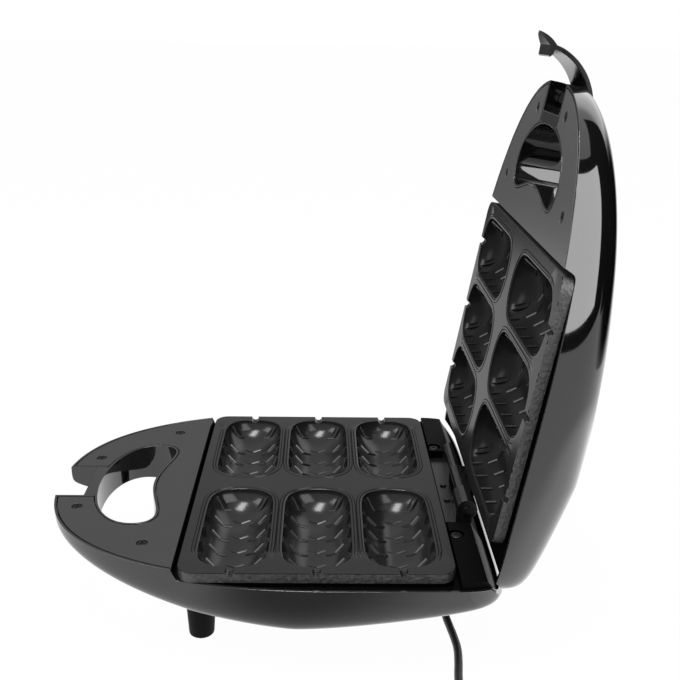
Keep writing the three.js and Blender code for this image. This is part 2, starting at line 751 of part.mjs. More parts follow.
function innerFrame(half) {
  const skin = dish(half, WALL + GAP, PARTING);
  const front = COVER_EDGE - FRAME_THICK;
  const endBottom = FRAME_REAR_DROP + FRAME_THICK;
  const wide = HALF_WIDTH;
  const floor = slab(
    polygon([
      [front, COVER_BOTTOM - GAP],
      [COVER_EDGE, COVER_BOTTOM - GAP],
      [COVER_EDGE, -FRAME_DROP],
      [FRAME_REAR_EDGE, -FRAME_DROP],
      [FRAME_REAR_END, -FRAME_REAR_DROP],
      [FRAME_REAR_END, -endBottom],
      [FRAME_REAR_EDGE, FRAME_BOTTOM],
      [front, FRAME_BOTTOM],
    ]),
    -wide,
    wide,
  );
  const deckProfile = polygon([
    [PLATE_REAR + OVERRUN, -half.deckDrop],
    [FRAME_REAR_EDGE, -half.deckDrop],
    [FRAME_REAR_END, -FRAME_REAR_DROP],
    [FRAME_REAR_END, -endBottom],
    [FRAME_REAR_EDGE, FRAME_BOTTOM],
    [PLATE_REAR + OVERRUN, FRAME_BOTTOM],
  ]);
  const decks = [slab(deckProfile, DECK_FAR, wide), slab(deckProfile, -wide, -DECK_NEAR)];
  const landOutline = roundedRectangle(PLATE_LENGTH - 2 * GAP, PLATE_WIDTH - 2 * GAP, PLATE_CORNER);
  const land = prism(landOutline, -FRAME_DROP, -PLATE_SKIRT - GAP);
  const openLength = PLATE_LENGTH - 2 * FRAME_LAND;
  const openWidth = PLATE_WIDTH - 2 * FRAME_LAND;
  const openOutline = roundedRectangle(openLength, openWidth, PLATE_CORNER - FRAME_LAND / 2);
  const opening = prism(openOutline, FRAME_BOTTOM - OVERRUN, OVERRUN);
  let frame = cut(joined(floor, land, ...decks), opening).intersect(skin);
  for (const [x, y] of deckScrewPlaces()) {
    frame = cut(
      frame,
      post(x, y, half.screwSeat, OVERRUN, DECK_RECESS),
      post(x, y, FRAME_BOTTOM - OVERRUN, OVERRUN, SCREW_SHANK + 2 * GAP, SMALL_SIDES),
    );
  }
  const leafBore = LEAF_SCREW_SHANK + 2 * GAP;
  for (const y of leafScrewPlaces()) {
    frame = cut(frame, post(LEAF_SCREW_AT, y, FRAME_BOTTOM - OVERRUN, OVERRUN, leafBore, SMALL_SIDES));
  }
  return frame;
}

// Cooking plate

// One cup, grown by grow on every side
function cup(x, y, grow, top) {
  const halfWidth = CUP_WIDTH / 2 + grow;
  const halfLength = CUP_LENGTH / 2 + grow;
  const depth = CUP_DEPTH + grow;
  const rings = [];
  for (let s = 0; s <= CUP_STATIONS; s += 1) {
    const turn = (Math.PI * (s + STATION_END_SHARE)) / (CUP_STATIONS + 2 * STATION_END_SHARE);
    const along = -Math.cos(turn);
    const width = halfWidth * Math.pow(1 - Math.pow(Math.abs(along), CUP_END_POWER), 1 / CUP_END_ROOT);
    const deep = depth * Math.pow(1 - Math.pow(Math.abs(along), CUP_KEEL_POWER), 1 / CUP_KEEL_ROOT);
    const ring = [new THREE.Vector3(x + width, y + along * halfLength, top)];
    for (let i = 0; i <= CUP_STEPS; i += 1) {
      const angle = (Math.PI * i) / CUP_STEPS;
      ring.push(
        new THREE.Vector3(
          x + width * Math.cos(angle),
          y + along * halfLength,
          PARTING - deep * Math.sin(angle),
        ),
      );
    }
    ring.push(new THREE.Vector3(x - width, y + along * halfLength, top));
    rings.push(ring);
  }
  return solid(loft(rings));
}

function cupPlaces() {
  return CUP_COLUMNS.map((column) => column * CUP_PITCH).flatMap((x) => [
    [x, -CUP_ROW_AT],
    [x, CUP_ROW_AT],
  ]);
}

// The half-round slots for the sticks, at both long edges of the plate
function stickSlots(grow, end) {
  const start = CUP_ROW_AT + CUP_LENGTH / 2 - STICK_WIDTH;
  return CUP_COLUMNS.map((column) => column * CUP_PITCH).flatMap((x) => [
    rodAlongY(x, PARTING, start, end, STICK_WIDTH + 2 * grow, SMALL_SIDES),
    rodAlongY(x, PARTING, -end, -start, STICK_WIDTH + 2 * grow, SMALL_SIDES),
  ]);
}

function cookingPlate() {
  const outline = roundedRectangle(PLATE_LENGTH, PLATE_WIDTH, PLATE_CORNER);
  const pocketLength = PLATE_LENGTH - 2 * PLATE_WALL;
  const pocketWidth = PLATE_WIDTH - 2 * PLATE_WALL;
  const pocket = roundedRectangle(pocketLength, pocketWidth, PLATE_CORNER - PLATE_WALL);
  const ribBottom = -HEATER_DROP + HEATER_DIAMETER / 2 + GAP;
  const ribHalf = HEATER_RIB / 2;
  const ribEnd = PLATE_WIDTH / 2 - 2 * FRAME_LAND;
  const ribs = [-HEATER_X, HEATER_X].map((x) =>
    box(x - ribHalf, x + ribHalf, -ribEnd, ribEnd, ribBottom, PLATE_TOP_BOTTOM + GAP),
  );
  const slabBody = prism(outline, -PLATE_SKIRT, PARTING);
  let plate = cut(slabBody, prism(pocket, -PLATE_SKIRT - OVERRUN, PLATE_TOP_BOTTOM));
  const bumps = cupPlaces().map(([x, y]) => cup(x, y, PLATE_WALL, PARTING + OVERRUN));
  const boss = post(0, 0, CLAMP_TOP + GAP, PLATE_TOP_BOTTOM + GAP, CLAMP_BOSS);
  plate = joined(plate, boss, ...ribs, ...bumps, ...stickSlots(PLATE_WALL, PLATE_WIDTH / 2));
  plate = plate.intersect(prism(outline, FAR_BELOW, PARTING));
  plate = cut(plate, ...cupPlaces().map(([x, y]) => cup(x, y, 0, OVERRUN)));
  plate = cut(plate, ...stickSlots(0, PLATE_WIDTH / 2 + OVERRUN));
  const boreTop = CLAMP_TOP + CLAMP_SCREW_LENGTH;
  return cut(plate, post(0, 0, CLAMP_TOP - OVERRUN, boreTop, SCREW_SHANK + 2 * GAP, SMALL_SIDES));
}

// Heater and what hangs from it

function tube(points, diameter, sides, steps) {
  const curve = new THREE.CatmullRomCurve3(points, false, "centripetal");
  const section = new THREE.Shape();
  for (let i = 0; i < sides; i += 1) {
    const angle = (2 * Math.PI * i) / sides;
    const x = (diameter / 2) * Math.cos(angle);
    const y = (diameter / 2) * Math.sin(angle);
    if (i === 0) section.moveTo(x, y);
    else section.lineTo(x, y);
  }
  section.closePath();
  return new THREE.ExtrudeGeometry(section, { steps, extrudePath: curve, bevelEnabled: false });
}

function heater() {
  const path = new THREE.CurvePath();
  const at = (x, y) => new THREE.Vector3(x, y, -HEATER_DROP);
  const start = -HEATER_REACH;
  const turn = HEATER_REACH - HEATER_BEND;
  const inner = HEATER_X - HEATER_BEND;
  const corner = (side) => at(side * HEATER_X, HEATER_REACH);
  path.add(new THREE.LineCurve3(at(-HEATER_X, start), at(-HEATER_X, turn)));
  path.add(new THREE.QuadraticBezierCurve3(at(-HEATER_X, turn), corner(-1), at(-inner, HEATER_REACH)));
  path.add(new THREE.LineCurve3(at(-inner, HEATER_REACH), at(inner, HEATER_REACH)));
  path.add(new THREE.QuadraticBezierCurve3(at(inner, HEATER_REACH), corner(1), at(HEATER_X, turn)));
  path.add(new THREE.LineCurve3(at(HEATER_X, turn), at(HEATER_X, start)));
  const section = new THREE.Shape();
  section.absarc(0, 0, HEATER_DIAMETER / 2, 0, 2 * Math.PI);
  const geometry = new THREE.ExtrudeGeometry(section, {
    steps: HEATER_STEPS,
    extrudePath: path,
    bevelEnabled: false,
    curveSegments: SMALL_SIDES / 2,
  });
  return solid(geometry);
}

function heaterClamp() {
  const reach = HEATER_X + CLAMP_OVERHANG;
  const strip = box(-reach, reach, -CLAMP_WIDTH / 2, CLAMP_WIDTH / 2, CLAMP_BOTTOM, CLAMP_TOP);
  const bore = SCREW_SHANK + 2 * GAP;
  return cut(strip, post(0, 0, CLAMP_BOTTOM - OVERRUN, CLAMP_TOP + OVERRUN, bore, SMALL_SIDES));
}

function clampScrew() {
  const headTop = CLAMP_BOTTOM - GAP;
  const end = CLAMP_TOP + CLAMP_SCREW_LENGTH - GAP;
  return joined(
    post(0, 0, headTop - CLAMP_SCREW_HEAD_THICK, headTop, CLAMP_SCREW_HEAD, SMALL_SIDES),
    post(0, 0, headTop - CLAMP_SCREW_HEAD_THICK / 2, end, SCREW_SHANK, SMALL_SIDES),
  );
}

function thermostat() {
  const top = CLAMP_BOTTOM - GAP;
  const bottom = top - THERMOSTAT_HEIGHT;
  const x = -(CLAMP_SCREW_HEAD + THERMOSTAT_DIAMETER) / 2 - GAP;
  const tab = THERMOSTAT_DIAMETER / 4;
  return joined(
    post(x, 0, bottom, top, THERMOSTAT_DIAMETER),
    box(x - tab - GAP, x - tab + GAP, -tab / 2, tab / 2, bottom - tab, bottom + GAP),
    box(x + tab - GAP, x + tab + GAP, -tab / 2, tab / 2, bottom - tab, bottom + GAP),
  );
}

function thermalFuse() {
  const z = CLAMP_BOTTOM - GAP - FUSE_DIAMETER / 2;
  const half = FUSE_LENGTH / 2;
  return joined(
    rodAlongY(FUSE_AT, z, -half, half, FUSE_DIAMETER, SMALL_SIDES),
    rodAlongY(FUSE_AT, z, -FUSE_LENGTH, FUSE_LENGTH, FUSE_DIAMETER / 4, SMALL_SIDES),
  );
}

function terminalBlock() {
  const half = TERMINAL_WIDTH / 2;
  const top = FRAME_BOTTOM - GAP;
  const bottom = TERMINAL_FLOOR_GAP - depthAt(TERMINAL_AT + half, BASE_HALF, WALL);
  let block = box(
    TERMINAL_AT - half,
    TERMINAL_AT + half,
    TERMINAL_OUT,
    TERMINAL_OUT + TERMINAL_LENGTH,
    bottom,
    top,
  );
  for (const share of TERMINAL_BORE_SHARES) {
    const y = TERMINAL_OUT + TERMINAL_LENGTH * share;
    const boreTop = (bottom + top) / 2;
    block = cut(block, post(TERMINAL_AT, y, bottom - OVERRUN, boreTop, half, SMALL_SIDES));
  }
  return block;
}

// Hinge

function leafScrewPlaces() {
  return [-LEAF_SCREW_OUT, LEAF_SCREW_OUT];
}

// A leaf on the frame's recess floor with a web up to its knuckle, from y0 to y1
function leaf(y0, y1, bottom, axis) {
  const body = joined(
    box(LEAF_START, LEAF_END + LEAF_THICK, y0, y1, bottom, bottom + LEAF_THICK),
    box(LEAF_END, HINGE_AT, y0, y1, bottom, axis),
    rodAlongY(HINGE_AT, axis, y0, y1, BARREL_DIAMETER),
  );
  return body;
}

function pinBore(axis) {
  const start = -LUG_END - OVERRUN;
  const end = BASE_KNUCKLE_END + OVERRUN;
  return rodAlongY(HINGE_AT, axis, start, end, PIN_DIAMETER + 2 * GAP, SMALL_SIDES);
}

function leafBores(y, bottom) {
  const top = bottom + OVERRUN + LEAF_THICK;
  return post(LEAF_SCREW_AT, y, bottom - OVERRUN, top, LEAF_SCREW_SHANK + 2 * GAP, SMALL_SIDES);
}

function baseHinge() {
  const bottom = -FRAME_DROP + GAP;
  const knuckleStart = LID_KNUCKLE_HALF + GAP;
  const halfLug = LUG_DIAMETER / 2;
  const lug = joined(
    rodAlongY(HINGE_AT, HINGE_RISE, -LUG_END, -knuckleStart, LUG_DIAMETER),
    box(HINGE_AT - halfLug, HINGE_AT + halfLug / 2, -LUG_END, -knuckleStart, bottom, HINGE_RISE),
  );
  const strip = box(LEAF_START, LEAF_END, -LUG_END, BASE_KNUCKLE_END, bottom, bottom + LEAF_THICK);
  const body = joined(strip, leaf(knuckleStart, BASE_KNUCKLE_END, bottom, HINGE_RISE), lug);
  return cut(body, pinBore(HINGE_RISE), ...leafScrewPlaces().map((y) => leafBores(y, bottom)));
}

// Drawn below the parting plane like the base, then upturned with the rest of the lid
function lidHinge() {
  const bottom = -FRAME_DROP + GAP;
  const body = leaf(-LID_KNUCKLE_HALF, LID_KNUCKLE_HALF, bottom, -HINGE_RISE);
  return cut(body, pinBore(-HINGE_RISE), ...leafScrewPlaces().map((y) => leafBores(y, bottom)));
}

function leafScrew(y) {
  const seat = -FRAME_DROP + GAP + LEAF_THICK;
  const length = LEAF_THICK + GAP + LEAF_SCREW_LENGTH;
  const headTop = seat + GAP + LEAF_SCREW_HEAD_THICK;
  return joined(
    post(LEAF_SCREW_AT, y, seat + GAP, headTop, LEAF_SCREW_HEAD, SMALL_SIDES),
    post(LEAF_SCREW_AT, y, seat - length, headTop - GAP, LEAF_SCREW_SHANK, SMALL_SIDES),
  );
}

function hingePin() {
  const headEnd = -LUG_END - GAP - PIN_HEAD_THICK;
  return joined(
    rodAlongY(HINGE_AT, HINGE_RISE, headEnd, BASE_KNUCKLE_END, PIN_DIAMETER, SMALL_SIDES),
    rodAlongY(HINGE_AT, HINGE_RISE, headEnd, -LUG_END - GAP, PIN_HEAD, SMALL_SIDES),
  );
}

// Latch, drawn where it stands when it is swung out from the closed lid

// The latch from the side: an arc over the nose, a hook that points back, and a tab for the finger
function latchShape() {
  const centreX = -LATCH_ARC_AT;
  const centreZ = -LATCH_ARC_DROP;
  const start = THREE.MathUtils.degToRad(LATCH_ARC_START_DEGREES);
  const end = THREE.MathUtils.degToRad(LATCH_ARC_END_DEGREES);
  const innerRadius = LATCH_ARC_RADIUS - LATCH_THICK;
  const outX = centreX + LATCH_ARC_RADIUS * Math.cos(end);
  const outZ = centreZ + LATCH_ARC_RADIUS * Math.sin(end);
  const inX = centreX + innerRadius * Math.cos(end);
  const inZ = centreZ + innerRadius * Math.sin(end);
  const bendX = outX - LATCH_TAB_OUT * LATCH_TAB_OUT_SHARE;
  const bendZ = outZ - LATCH_TAB_DROP * LATCH_TAB_DROP_SHARE;
  const tipX = outX - LATCH_TAB_OUT;
  const tipZ = outZ - LATCH_TAB_DROP;
  const shape = new THREE.Shape();
  shape.absarc(centreX, centreZ, LATCH_ARC_RADIUS, start, end, false);
  shape.quadraticCurveTo(bendX, bendZ, tipX, tipZ);
  shape.lineTo(tipX + LATCH_TAB_TIP, tipZ);
  shape.lineTo(inX - LATCH_TAB_THICK, inZ - LATCH_HOOK_THICK);
  for (const [along, down] of LATCH_HOOK_SHARES) {
    shape.lineTo(inX + LATCH_HOOK_LENGTH * along, inZ - LATCH_HOOK_THICK * down);
  }
  shape.absarc(centreX, centreZ, innerRadius, end, start, true);
  shape.closePath();
  return shape;
}

// The latch from the front: straight sides, then a tab that narrows to a rounded tongue
function latchFront(half) {
  const end = THREE.MathUtils.degToRad(LATCH_ARC_END_DEGREES);
  const root = -LATCH_ARC_DROP + LATCH_ARC_RADIUS * Math.sin(end);
  const high = LATCH_PIVOT_RISE + LATCH_BARREL;
  const side = [
    [half, high],
    [half, root + LATCH_SHOULDER],
  ];
  for (let i = 0; i <= TONGUE_STEPS; i += 1) {
    const share = roundOff(1 - i / TONGUE_STEPS, 2);
    const width = LATCH_TONGUE_HALF * Math.pow(1 - share, LATCH_TONGUE_POWER);
    side.push([width, root - LATCH_TAB_DROP * share]);
  }
  const others = side.slice(0, -1).map(([y, z]) => [-y, z]);
  const shape = polygon([...side, ...others.reverse()]);
  const geometry = new THREE.ExtrudeGeometry(shape, { depth: NOSE_REACH, bevelEnabled: false });
  geometry.rotateX(Math.PI / 2);
  geometry.rotateZ(-Math.PI / 2);
  geometry.translate(-NOSE_REACH / 2, 0, 0);
  return solid(geometry);
}

function latch() {
  const half = NOTCH_HALF_WIDTH - LATCH_SIDE_GAP;
  const arm = slab(latchShape(), -half, half, ARC_STEPS).intersect(latchFront(half + GAP));
  const barrel = rodAlongY(-LATCH_PIVOT_AT, LATCH_PIVOT_RISE, -half, half, LATCH_BARREL);
  const bore = LATCH_PIN + 2 * GAP;
  return cut(
    joined(arm, barrel),
    rodAlongY(-LATCH_PIVOT_AT, LATCH_PIVOT_RISE, -half - OVERRUN, half + OVERRUN, bore, SMALL_SIDES),
  );
}

function latchPin() {
  const half = NOTCH_HALF_WIDTH + WALL - GAP;
  return rodAlongY(-LATCH_PIVOT_AT, LATCH_PIVOT_RISE, -half, half, LATCH_PIN, SMALL_SIDES);
}

// Lenses, drawn below the parting plane and upturned with the lid

function lensPlaces() {
  return [
    [-LENS_AT, -LENS_OUT],
    [-LENS_AT, LENS_OUT],
  ];
}

function lens([x, y]) {
  const surface = -depthAt(x, LID_HALF, 0);
  const head = post(x, y, surface - LENS_PROUD - GAP, surface + LENS_PROUD, LENS_DIAMETER);
  const stem = post(x, y, surface - LENS_PROUD, surface + LENS_STEM_LENGTH, LENS_STEM, SMALL_SIDES);
  return joined(cut(head, dish(LID_HALF, -GAP, 0)), stem);
}

// Feet

function footPlaces() {
  return {
    front_foot_near: [-FRONT_FOOT_AT, -FRONT_FOOT_OUT],
    front_foot_far: [-FRONT_FOOT_AT, FRONT_FOOT_OUT],
    rear_foot_near: [REAR_FOOT_AT, -REAR_FOOT_OUT],
    rear_foot_far: [REAR_FOOT_AT, REAR_FOOT_OUT],
  };
}

function foot([x, y]) {
  const bottom = FOOT_BOTTOM / 2;
  const reach = FOOT_TOP / 2;
  const depth = Math.min(depthAt(x - reach, BASE_HALF, 0), depthAt(x + reach, BASE_HALF, 0));
  const top = FOOT_SINK - depth;
  const profile = [new THREE.Vector2(0, FLOOR), new THREE.Vector2(bottom - FOOT_EDGE, FLOOR)];
  for (let i = 1; i <= FOOT_EDGE_STEPS; i += 1) {
    const angle = (Math.PI / 2) * (i / FOOT_EDGE_STEPS);
    profile.push(
      new THREE.Vector2(
        bottom - FOOT_EDGE + FOOT_EDGE * Math.sin(angle),
        FLOOR + FOOT_EDGE * (1 - Math.cos(angle)),
      ),
    );
  }
  profile.push(new THREE.Vector2(reach, top), new THREE.Vector2(0, top));
  const geometry = new THREE.LatheGeometry(profile, ROUND_SIDES);
  geometry.rotateX(Math.PI / 2);
  geometry.translate(x, y, 0);
  return cut(solid(geometry), dish(BASE_HALF, -GAP, OVERRUN));
}

// Cord, its strain relief and its plug

function reliefFrame() {
  const slope = THREE.MathUtils.degToRad(RELIEF_SLOPE_DEGREES);
  const surface = -depthAt(RELIEF_AT, BASE_HALF, 0);
  return {
    start: new THREE.Vector3(RELIEF_AT, RELIEF_OUT, surface),
    direction: new THREE.Vector3(0, -Math.cos(slope), -Math.sin(slope)),
  };
}

// A round taper along a direction, from one distance to another
function cone(frame, from, to, fromDiameter, toDiameter = fromDiameter) {
  const geometry = new THREE.CylinderGeometry(toDiameter / 2, fromDiameter / 2, to - from, ROUND_SIDES);
  geometry.translate(0, (from + to) / 2, 0);
  const turn = new THREE.Quaternion().setFromUnitVectors(new THREE.Vector3(0, 1, 0), frame.direction);
  geometry.applyQuaternion(turn);
  geometry.translate(frame.start.x, frame.start.y, frame.start.z);
  return solid(geometry);
}

function strainRelief() {
  const frame = reliefFrame();
  const taper = cone(frame, -RELIEF_NECK_LENGTH, RELIEF_LENGTH, RELIEF_ROOT, RELIEF_TIP);
  const outside = cut(taper, dish(BASE_HALF, -GAP, OVERRUN));
  const neck = cone(frame, -RELIEF_NECK_LENGTH, RELIEF_LENGTH / 4, RELIEF_NECK);
  const seat = cone(frame, RELIEF_LENGTH - CORD_DIAMETER, RELIEF_LENGTH + OVERRUN, CORD_DIAMETER + 2 * GAP);
  return cut(joined(outside, neck), seat);
}

// The free stretch, as x and y from the middle of the plates and height of its centre above the floor
const CORD_ROUTE = [
  [77.5, -7.6, 24],
  [77.5, -12.8, 20.1],
  [77.5, -20, 15.2],
  [77.5, -28, 10.4],
  [77.7, -36, 6.7],
  [78.1, -45, 3.9],
  [78.9, -54, 2.7],
  [80.2, -65, 2.4],
  [81.4, -76, 2.4],
  [81.9, -86, 2.4],
  [81, -97, 2.4],
  [79, -112, 2.4],
  [78, -125, 2.4],
  [77.7, -138, 2.4],
  [77.7, -151, 2.4],
];

function cord() {
  const points = CORD_ROUTE.map(([x, y, height]) => new THREE.Vector3(x, y, FLOOR + height));
  return solid(tube(points, CORD_DIAMETER, CORD_SIDES, CORD_STEPS));
}

// The centre of the coiled tube: turns in on the floor, then back out on top of them
function coilPoint(turns) {
  const [endX, endY] = CORD_ROUTE[CORD_ROUTE.length - 1];
  const outer = COIL_INNER + COIL_PITCH * COIL_TURNS_IN;
  const radius = COIL_INNER + COIL_PITCH * Math.abs(turns - COIL_TURNS_IN);
  const angle = -2 * Math.PI * turns;
  const climbStart = COIL_TURNS_IN - COIL_CLIMB_TURNS;
  const climb = THREE.MathUtils.smoothstep(turns, climbStart, COIL_TURNS_IN + COIL_CLIMB_TURNS);
  return new THREE.Vector3(
    endX - outer + radius * Math.cos(angle),
    endY - GAP - CORD_DIAMETER + radius * Math.sin(angle),
    FLOOR + CORD_DIAMETER / 2 + COIL_PITCH * climb,
  );
}

function coilCentreline() {
  const steps = Math.round(COIL_TURNS * COIL_STEPS_PER_TURN);
  const points = [];
  for (let i = 0; i <= steps; i += 1) points.push(coilPoint((COIL_TURNS * i) / steps));
  const first = points[0];
  const last = points[points.length - 1];
  points.unshift(new THREE.Vector3(first.x, first.y + CORD_DIAMETER, first.z));
  points.push(new THREE.Vector3(last.x - CORD_DIAMETER, last.y, last.z));
  return points;
}

// The least gap between stretches of the coil that are more than half a turn apart
function leastCoilGap(points) {
  let least = Infinity;
  const nearest = new THREE.Vector3();
  for (let i = 0; i < points.length; i += 1) {
    for (let j = 0; j + 1 < points.length; j += 1) {
      if (Math.abs(i - j) < COIL_STEPS_PER_TURN / 2) continue;
      new THREE.Line3(points[j], points[j + 1]).closestPointToPoint(points[i], true, nearest);
      least = Math.min(least, nearest.distanceTo(points[i]) - CORD_DIAMETER);
    }
  }
  return least;
}

// A tube of flat-sided rings, each square to the path at its point
function woundTube(points, diameter, sides) {
  const up = new THREE.Vector3(0, 0, 1);
  const rings = points.map((point, i) => {
    const before = points[Math.max(0, i - 1)];
    const after = points[Math.min(points.length - 1, i + 1)];
    const forward = new THREE.Vector3().subVectors(after, before).normalize();
    const side = new THREE.Vector3().crossVectors(up, forward).normalize();
    const rise = new THREE.Vector3().crossVectors(forward, side);
    const ring = [];
    for (let k = 0; k < sides; k += 1) {
      const angle = (2 * Math.PI * (k + 0.5)) / sides;
      const out = side.clone().multiplyScalar((diameter / 2) * Math.cos(angle));
      out.addScaledVector(rise, (diameter / 2) * Math.sin(angle));
      ring.push(out.add(point));
    }
    return ring;
  });
  return loft(rings);
}

function cordCoil() {
  const points = coilCentreline();
  console.log("least gap in the coil: " + leastCoilGap(points).toFixed(2) + " mm");
  return solid(woundTube(points, CORD_DIAMETER, COIL_SIDES));
}

function tailStart() {
  const points = coilCentreline();
  return points[points.length - 1];
}

function tailPoints() {
  const start = tailStart();
  const from = start.x - GAP;
  const plugHeight = FLOOR + PLUG_HEIGHT / 2;
  return TAIL_SHARES.map((share) => {
    const blend = THREE.MathUtils.smoothstep(share, 0, 1);
    const sag = TAIL_SAG * Math.pow(Math.sin(Math.PI * share), 2);
    const z = start.z + (plugHeight - start.z) * blend - sag;
    return new THREE.Vector3(from - (TAIL_LENGTH - 2 * GAP) * share, start.y, z);
  });
}

function cordTail() {
  return solid(tube(tailPoints(), CORD_DIAMETER, CORD_SIDES, TAIL_STEPS));
}

function plugPlace() {
  const start = tailStart();
  return new THREE.Vector3(start.x - TAIL_LENGTH, start.y, FLOOR + PLUG_HEIGHT / 2);
}

function plugBody() {
  const place = plugPlace();
  const rings = PLUG_SHARES.map(([reliefShare, bodyShare, widthShare, heightShare]) => {
    const along = PLUG_RELIEF_LENGTH * reliefShare + PLUG_LENGTH * bodyShare;
    const ring = [];
    for (let i = 0; i < ROUND_SIDES; i += 1) {
      const angle = (2 * Math.PI * i) / ROUND_SIDES;
      const across = (PLUG_WIDTH / 2) * widthShare * signedPower(Math.cos(angle), PLUG_SECTION_POWER);
      const rise = (PLUG_HEIGHT / 2) * heightShare * signedPower(Math.sin(angle), PLUG_SECTION_POWER);
      ring.push(new THREE.Vector3(place.x - along, place.y - across, place.z + rise));
    }
    return ring;
  });
  return solid(loft(rings));
}

function plugPin(side) {
  const place = plugPlace();
  const start = place.x - PLUG_RELIEF_LENGTH - PLUG_LENGTH - GAP;
  const geometry = new THREE.CylinderGeometry(PLUG_PIN / 2, PLUG_PIN / 2, PLUG_PIN_LENGTH, SMALL_SIDES);
  geometry.rotateZ(Math.PI / 2);
  geometry.translate(start - PLUG_PIN_LENGTH / 2, place.y + (side * PLUG_PIN_SPACING) / 2, place.z);
  return solid(geometry);
}

// Assembly

function material(name) {
  return new THREE.MeshStandardMaterial({ ...FINISHES[name], flatShading: true });
}

function addPiece(group, name, finish, made, turned = false) {
  const geometry = geometryOf(made);
  const mesh = new THREE.Mesh(turned ? upturned(geometry) : geometry, material(finish));
  mesh.name = name;
  group.add(mesh);
}

function addHalf(group, prefix, turned, pieces) {
  const add = (name, finish, made) => addPiece(group, prefix + "_" + name, finish, made, turned);
  add("shell", "gloss", pieces.shell);
  add("handle_cover", "satin", handleCover());
  coverScrewPlaces().forEach((place, i) => add("cover_screw_" + (i + 1), "darkSteel", coverScrew(place)));
  add("frame", "matte", innerFrame(pieces.half));
  deckScrewPlaces().forEach((place, i) => {
    add("frame_screw_" + (i + 1), "darkSteel", deckScrew(place, pieces.half));
  });
  add("plate", "coating", cookingPlate());
  add("heater", "steel", heater());
  add("heater_clamp", "steel", heaterClamp());
  add("clamp_screw", "steel", clampScrew());
  add("hinge_leaf", "darkSteel", pieces.hinge);
  leafScrewPlaces().forEach((y, i) => add("hinge_screw_" + (i + 1), "steel", leafScrew(y)));
}

function buildBase() {
  const base = new THREE.Group();
  addHalf(base, "base", false, { half: BASE_HALF, shell: baseShell(), hinge: baseHinge() });
  addPiece(base, "thermostat", "ceramic", thermostat());
  addPiece(base, "thermal_fuse", "steel", thermalFuse());
  addPiece(base, "terminal_block", "ceramic", terminalBlock());
  addPiece(base, "hinge_pin", "steel", hingePin());
  for (const [name, place] of Object.entries(footPlaces())) {
    addPiece(base, name, "rubber", foot(place));
  }
  addPiece(base, "strain_relief", "rubber", strainRelief());
  addPiece(base, "cord", "rubber", cord());
  addPiece(base, "cord_coil", "rubber", cordCoil());
  addPiece(base, "cord_tail", "rubber", cordTail());
  addPiece(base, "plug", "rubber", plugBody());
  addPiece(base, "plug_pin_1", "steel", plugPin(-1));
  addPiece(base, "plug_pin_2", "steel", plugPin(1));
  return base;
}

function buildLid() {
  const closed = new THREE.Group();
  addHalf(closed, "lid", true, { half: LID_HALF, shell: lidShell(), hinge: lidHinge() });
  addPiece(closed, "power_lens", "redLens", lens(lensPlaces()[0]), true);
  addPiece(closed, "ready_lens", "greenLens", lens(lensPlaces()[1]), true);
  addPiece(closed, "latch_pin", "steel", latchPin());
  addPiece(closed, "latch", "matte", latch());
  closed.position.set(-HINGE_AT, 0, -HINGE_RISE);
  const lid = new THREE.Group();
  lid.add(closed);
  lid.position.set(HINGE_AT, 0, HINGE_RISE);
  lid.rotation.y = THREE.MathUtils.degToRad(OPEN_DEGREES);
  return lid;
}

// The origin is on the floor under the middle of the machine, measured without the cord and plug
function placed(parts) {
  const bounds = new THREE.Box3();
  const part = new THREE.Group();
  parts.forEach((piece) => part.add(piece));
  part.updateMatrixWorld(true);
  part.traverse((piece) => {
    if (piece.isMesh && !/^(cord|plug)/.test(piece.name)) bounds.expandByObject(piece, true);
  });
  part.position.set(-(bounds.min.x + bounds.max.x) / 2, 0, -FLOOR);
  const root = new THREE.Group();
  root.add(part);
  return root;
}

export default placed([buildBase(), buildLid()]);
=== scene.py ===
"""Corn dog maker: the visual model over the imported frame.

Forms are drawn in plan millimetres, with both halves closed on each other: x and y from the middle of the
plates and z from the parting plane. Each half is then put where the frame has it, in metres.
"""

import json
import logging
import math
from collections.abc import Sequence
from dataclasses import dataclass
from enum import Enum
from functools import cache

import bmesh
import bpy
from mathutils import Matrix, Vector


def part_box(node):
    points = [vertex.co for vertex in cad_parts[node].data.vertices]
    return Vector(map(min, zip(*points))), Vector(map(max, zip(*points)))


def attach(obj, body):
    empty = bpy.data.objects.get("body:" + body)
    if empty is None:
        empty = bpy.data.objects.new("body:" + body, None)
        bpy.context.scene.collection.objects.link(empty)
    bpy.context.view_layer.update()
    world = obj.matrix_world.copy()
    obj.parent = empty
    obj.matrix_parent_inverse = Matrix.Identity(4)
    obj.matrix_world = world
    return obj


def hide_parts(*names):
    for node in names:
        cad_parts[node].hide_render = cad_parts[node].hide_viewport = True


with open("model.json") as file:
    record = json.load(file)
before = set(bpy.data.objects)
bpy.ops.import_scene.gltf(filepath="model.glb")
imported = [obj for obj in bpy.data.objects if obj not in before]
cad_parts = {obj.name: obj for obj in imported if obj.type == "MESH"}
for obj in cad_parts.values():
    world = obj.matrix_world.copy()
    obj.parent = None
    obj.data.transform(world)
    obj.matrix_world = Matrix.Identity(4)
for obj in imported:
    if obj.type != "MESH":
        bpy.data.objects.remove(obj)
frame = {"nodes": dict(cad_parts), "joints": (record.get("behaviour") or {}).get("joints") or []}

log = logging.getLogger("corn_dog_maker")

Plan = tuple[float, float]
Point = tuple[float, float, float]
Tone = tuple[float, float, float]
Outline = Sequence[Plan]

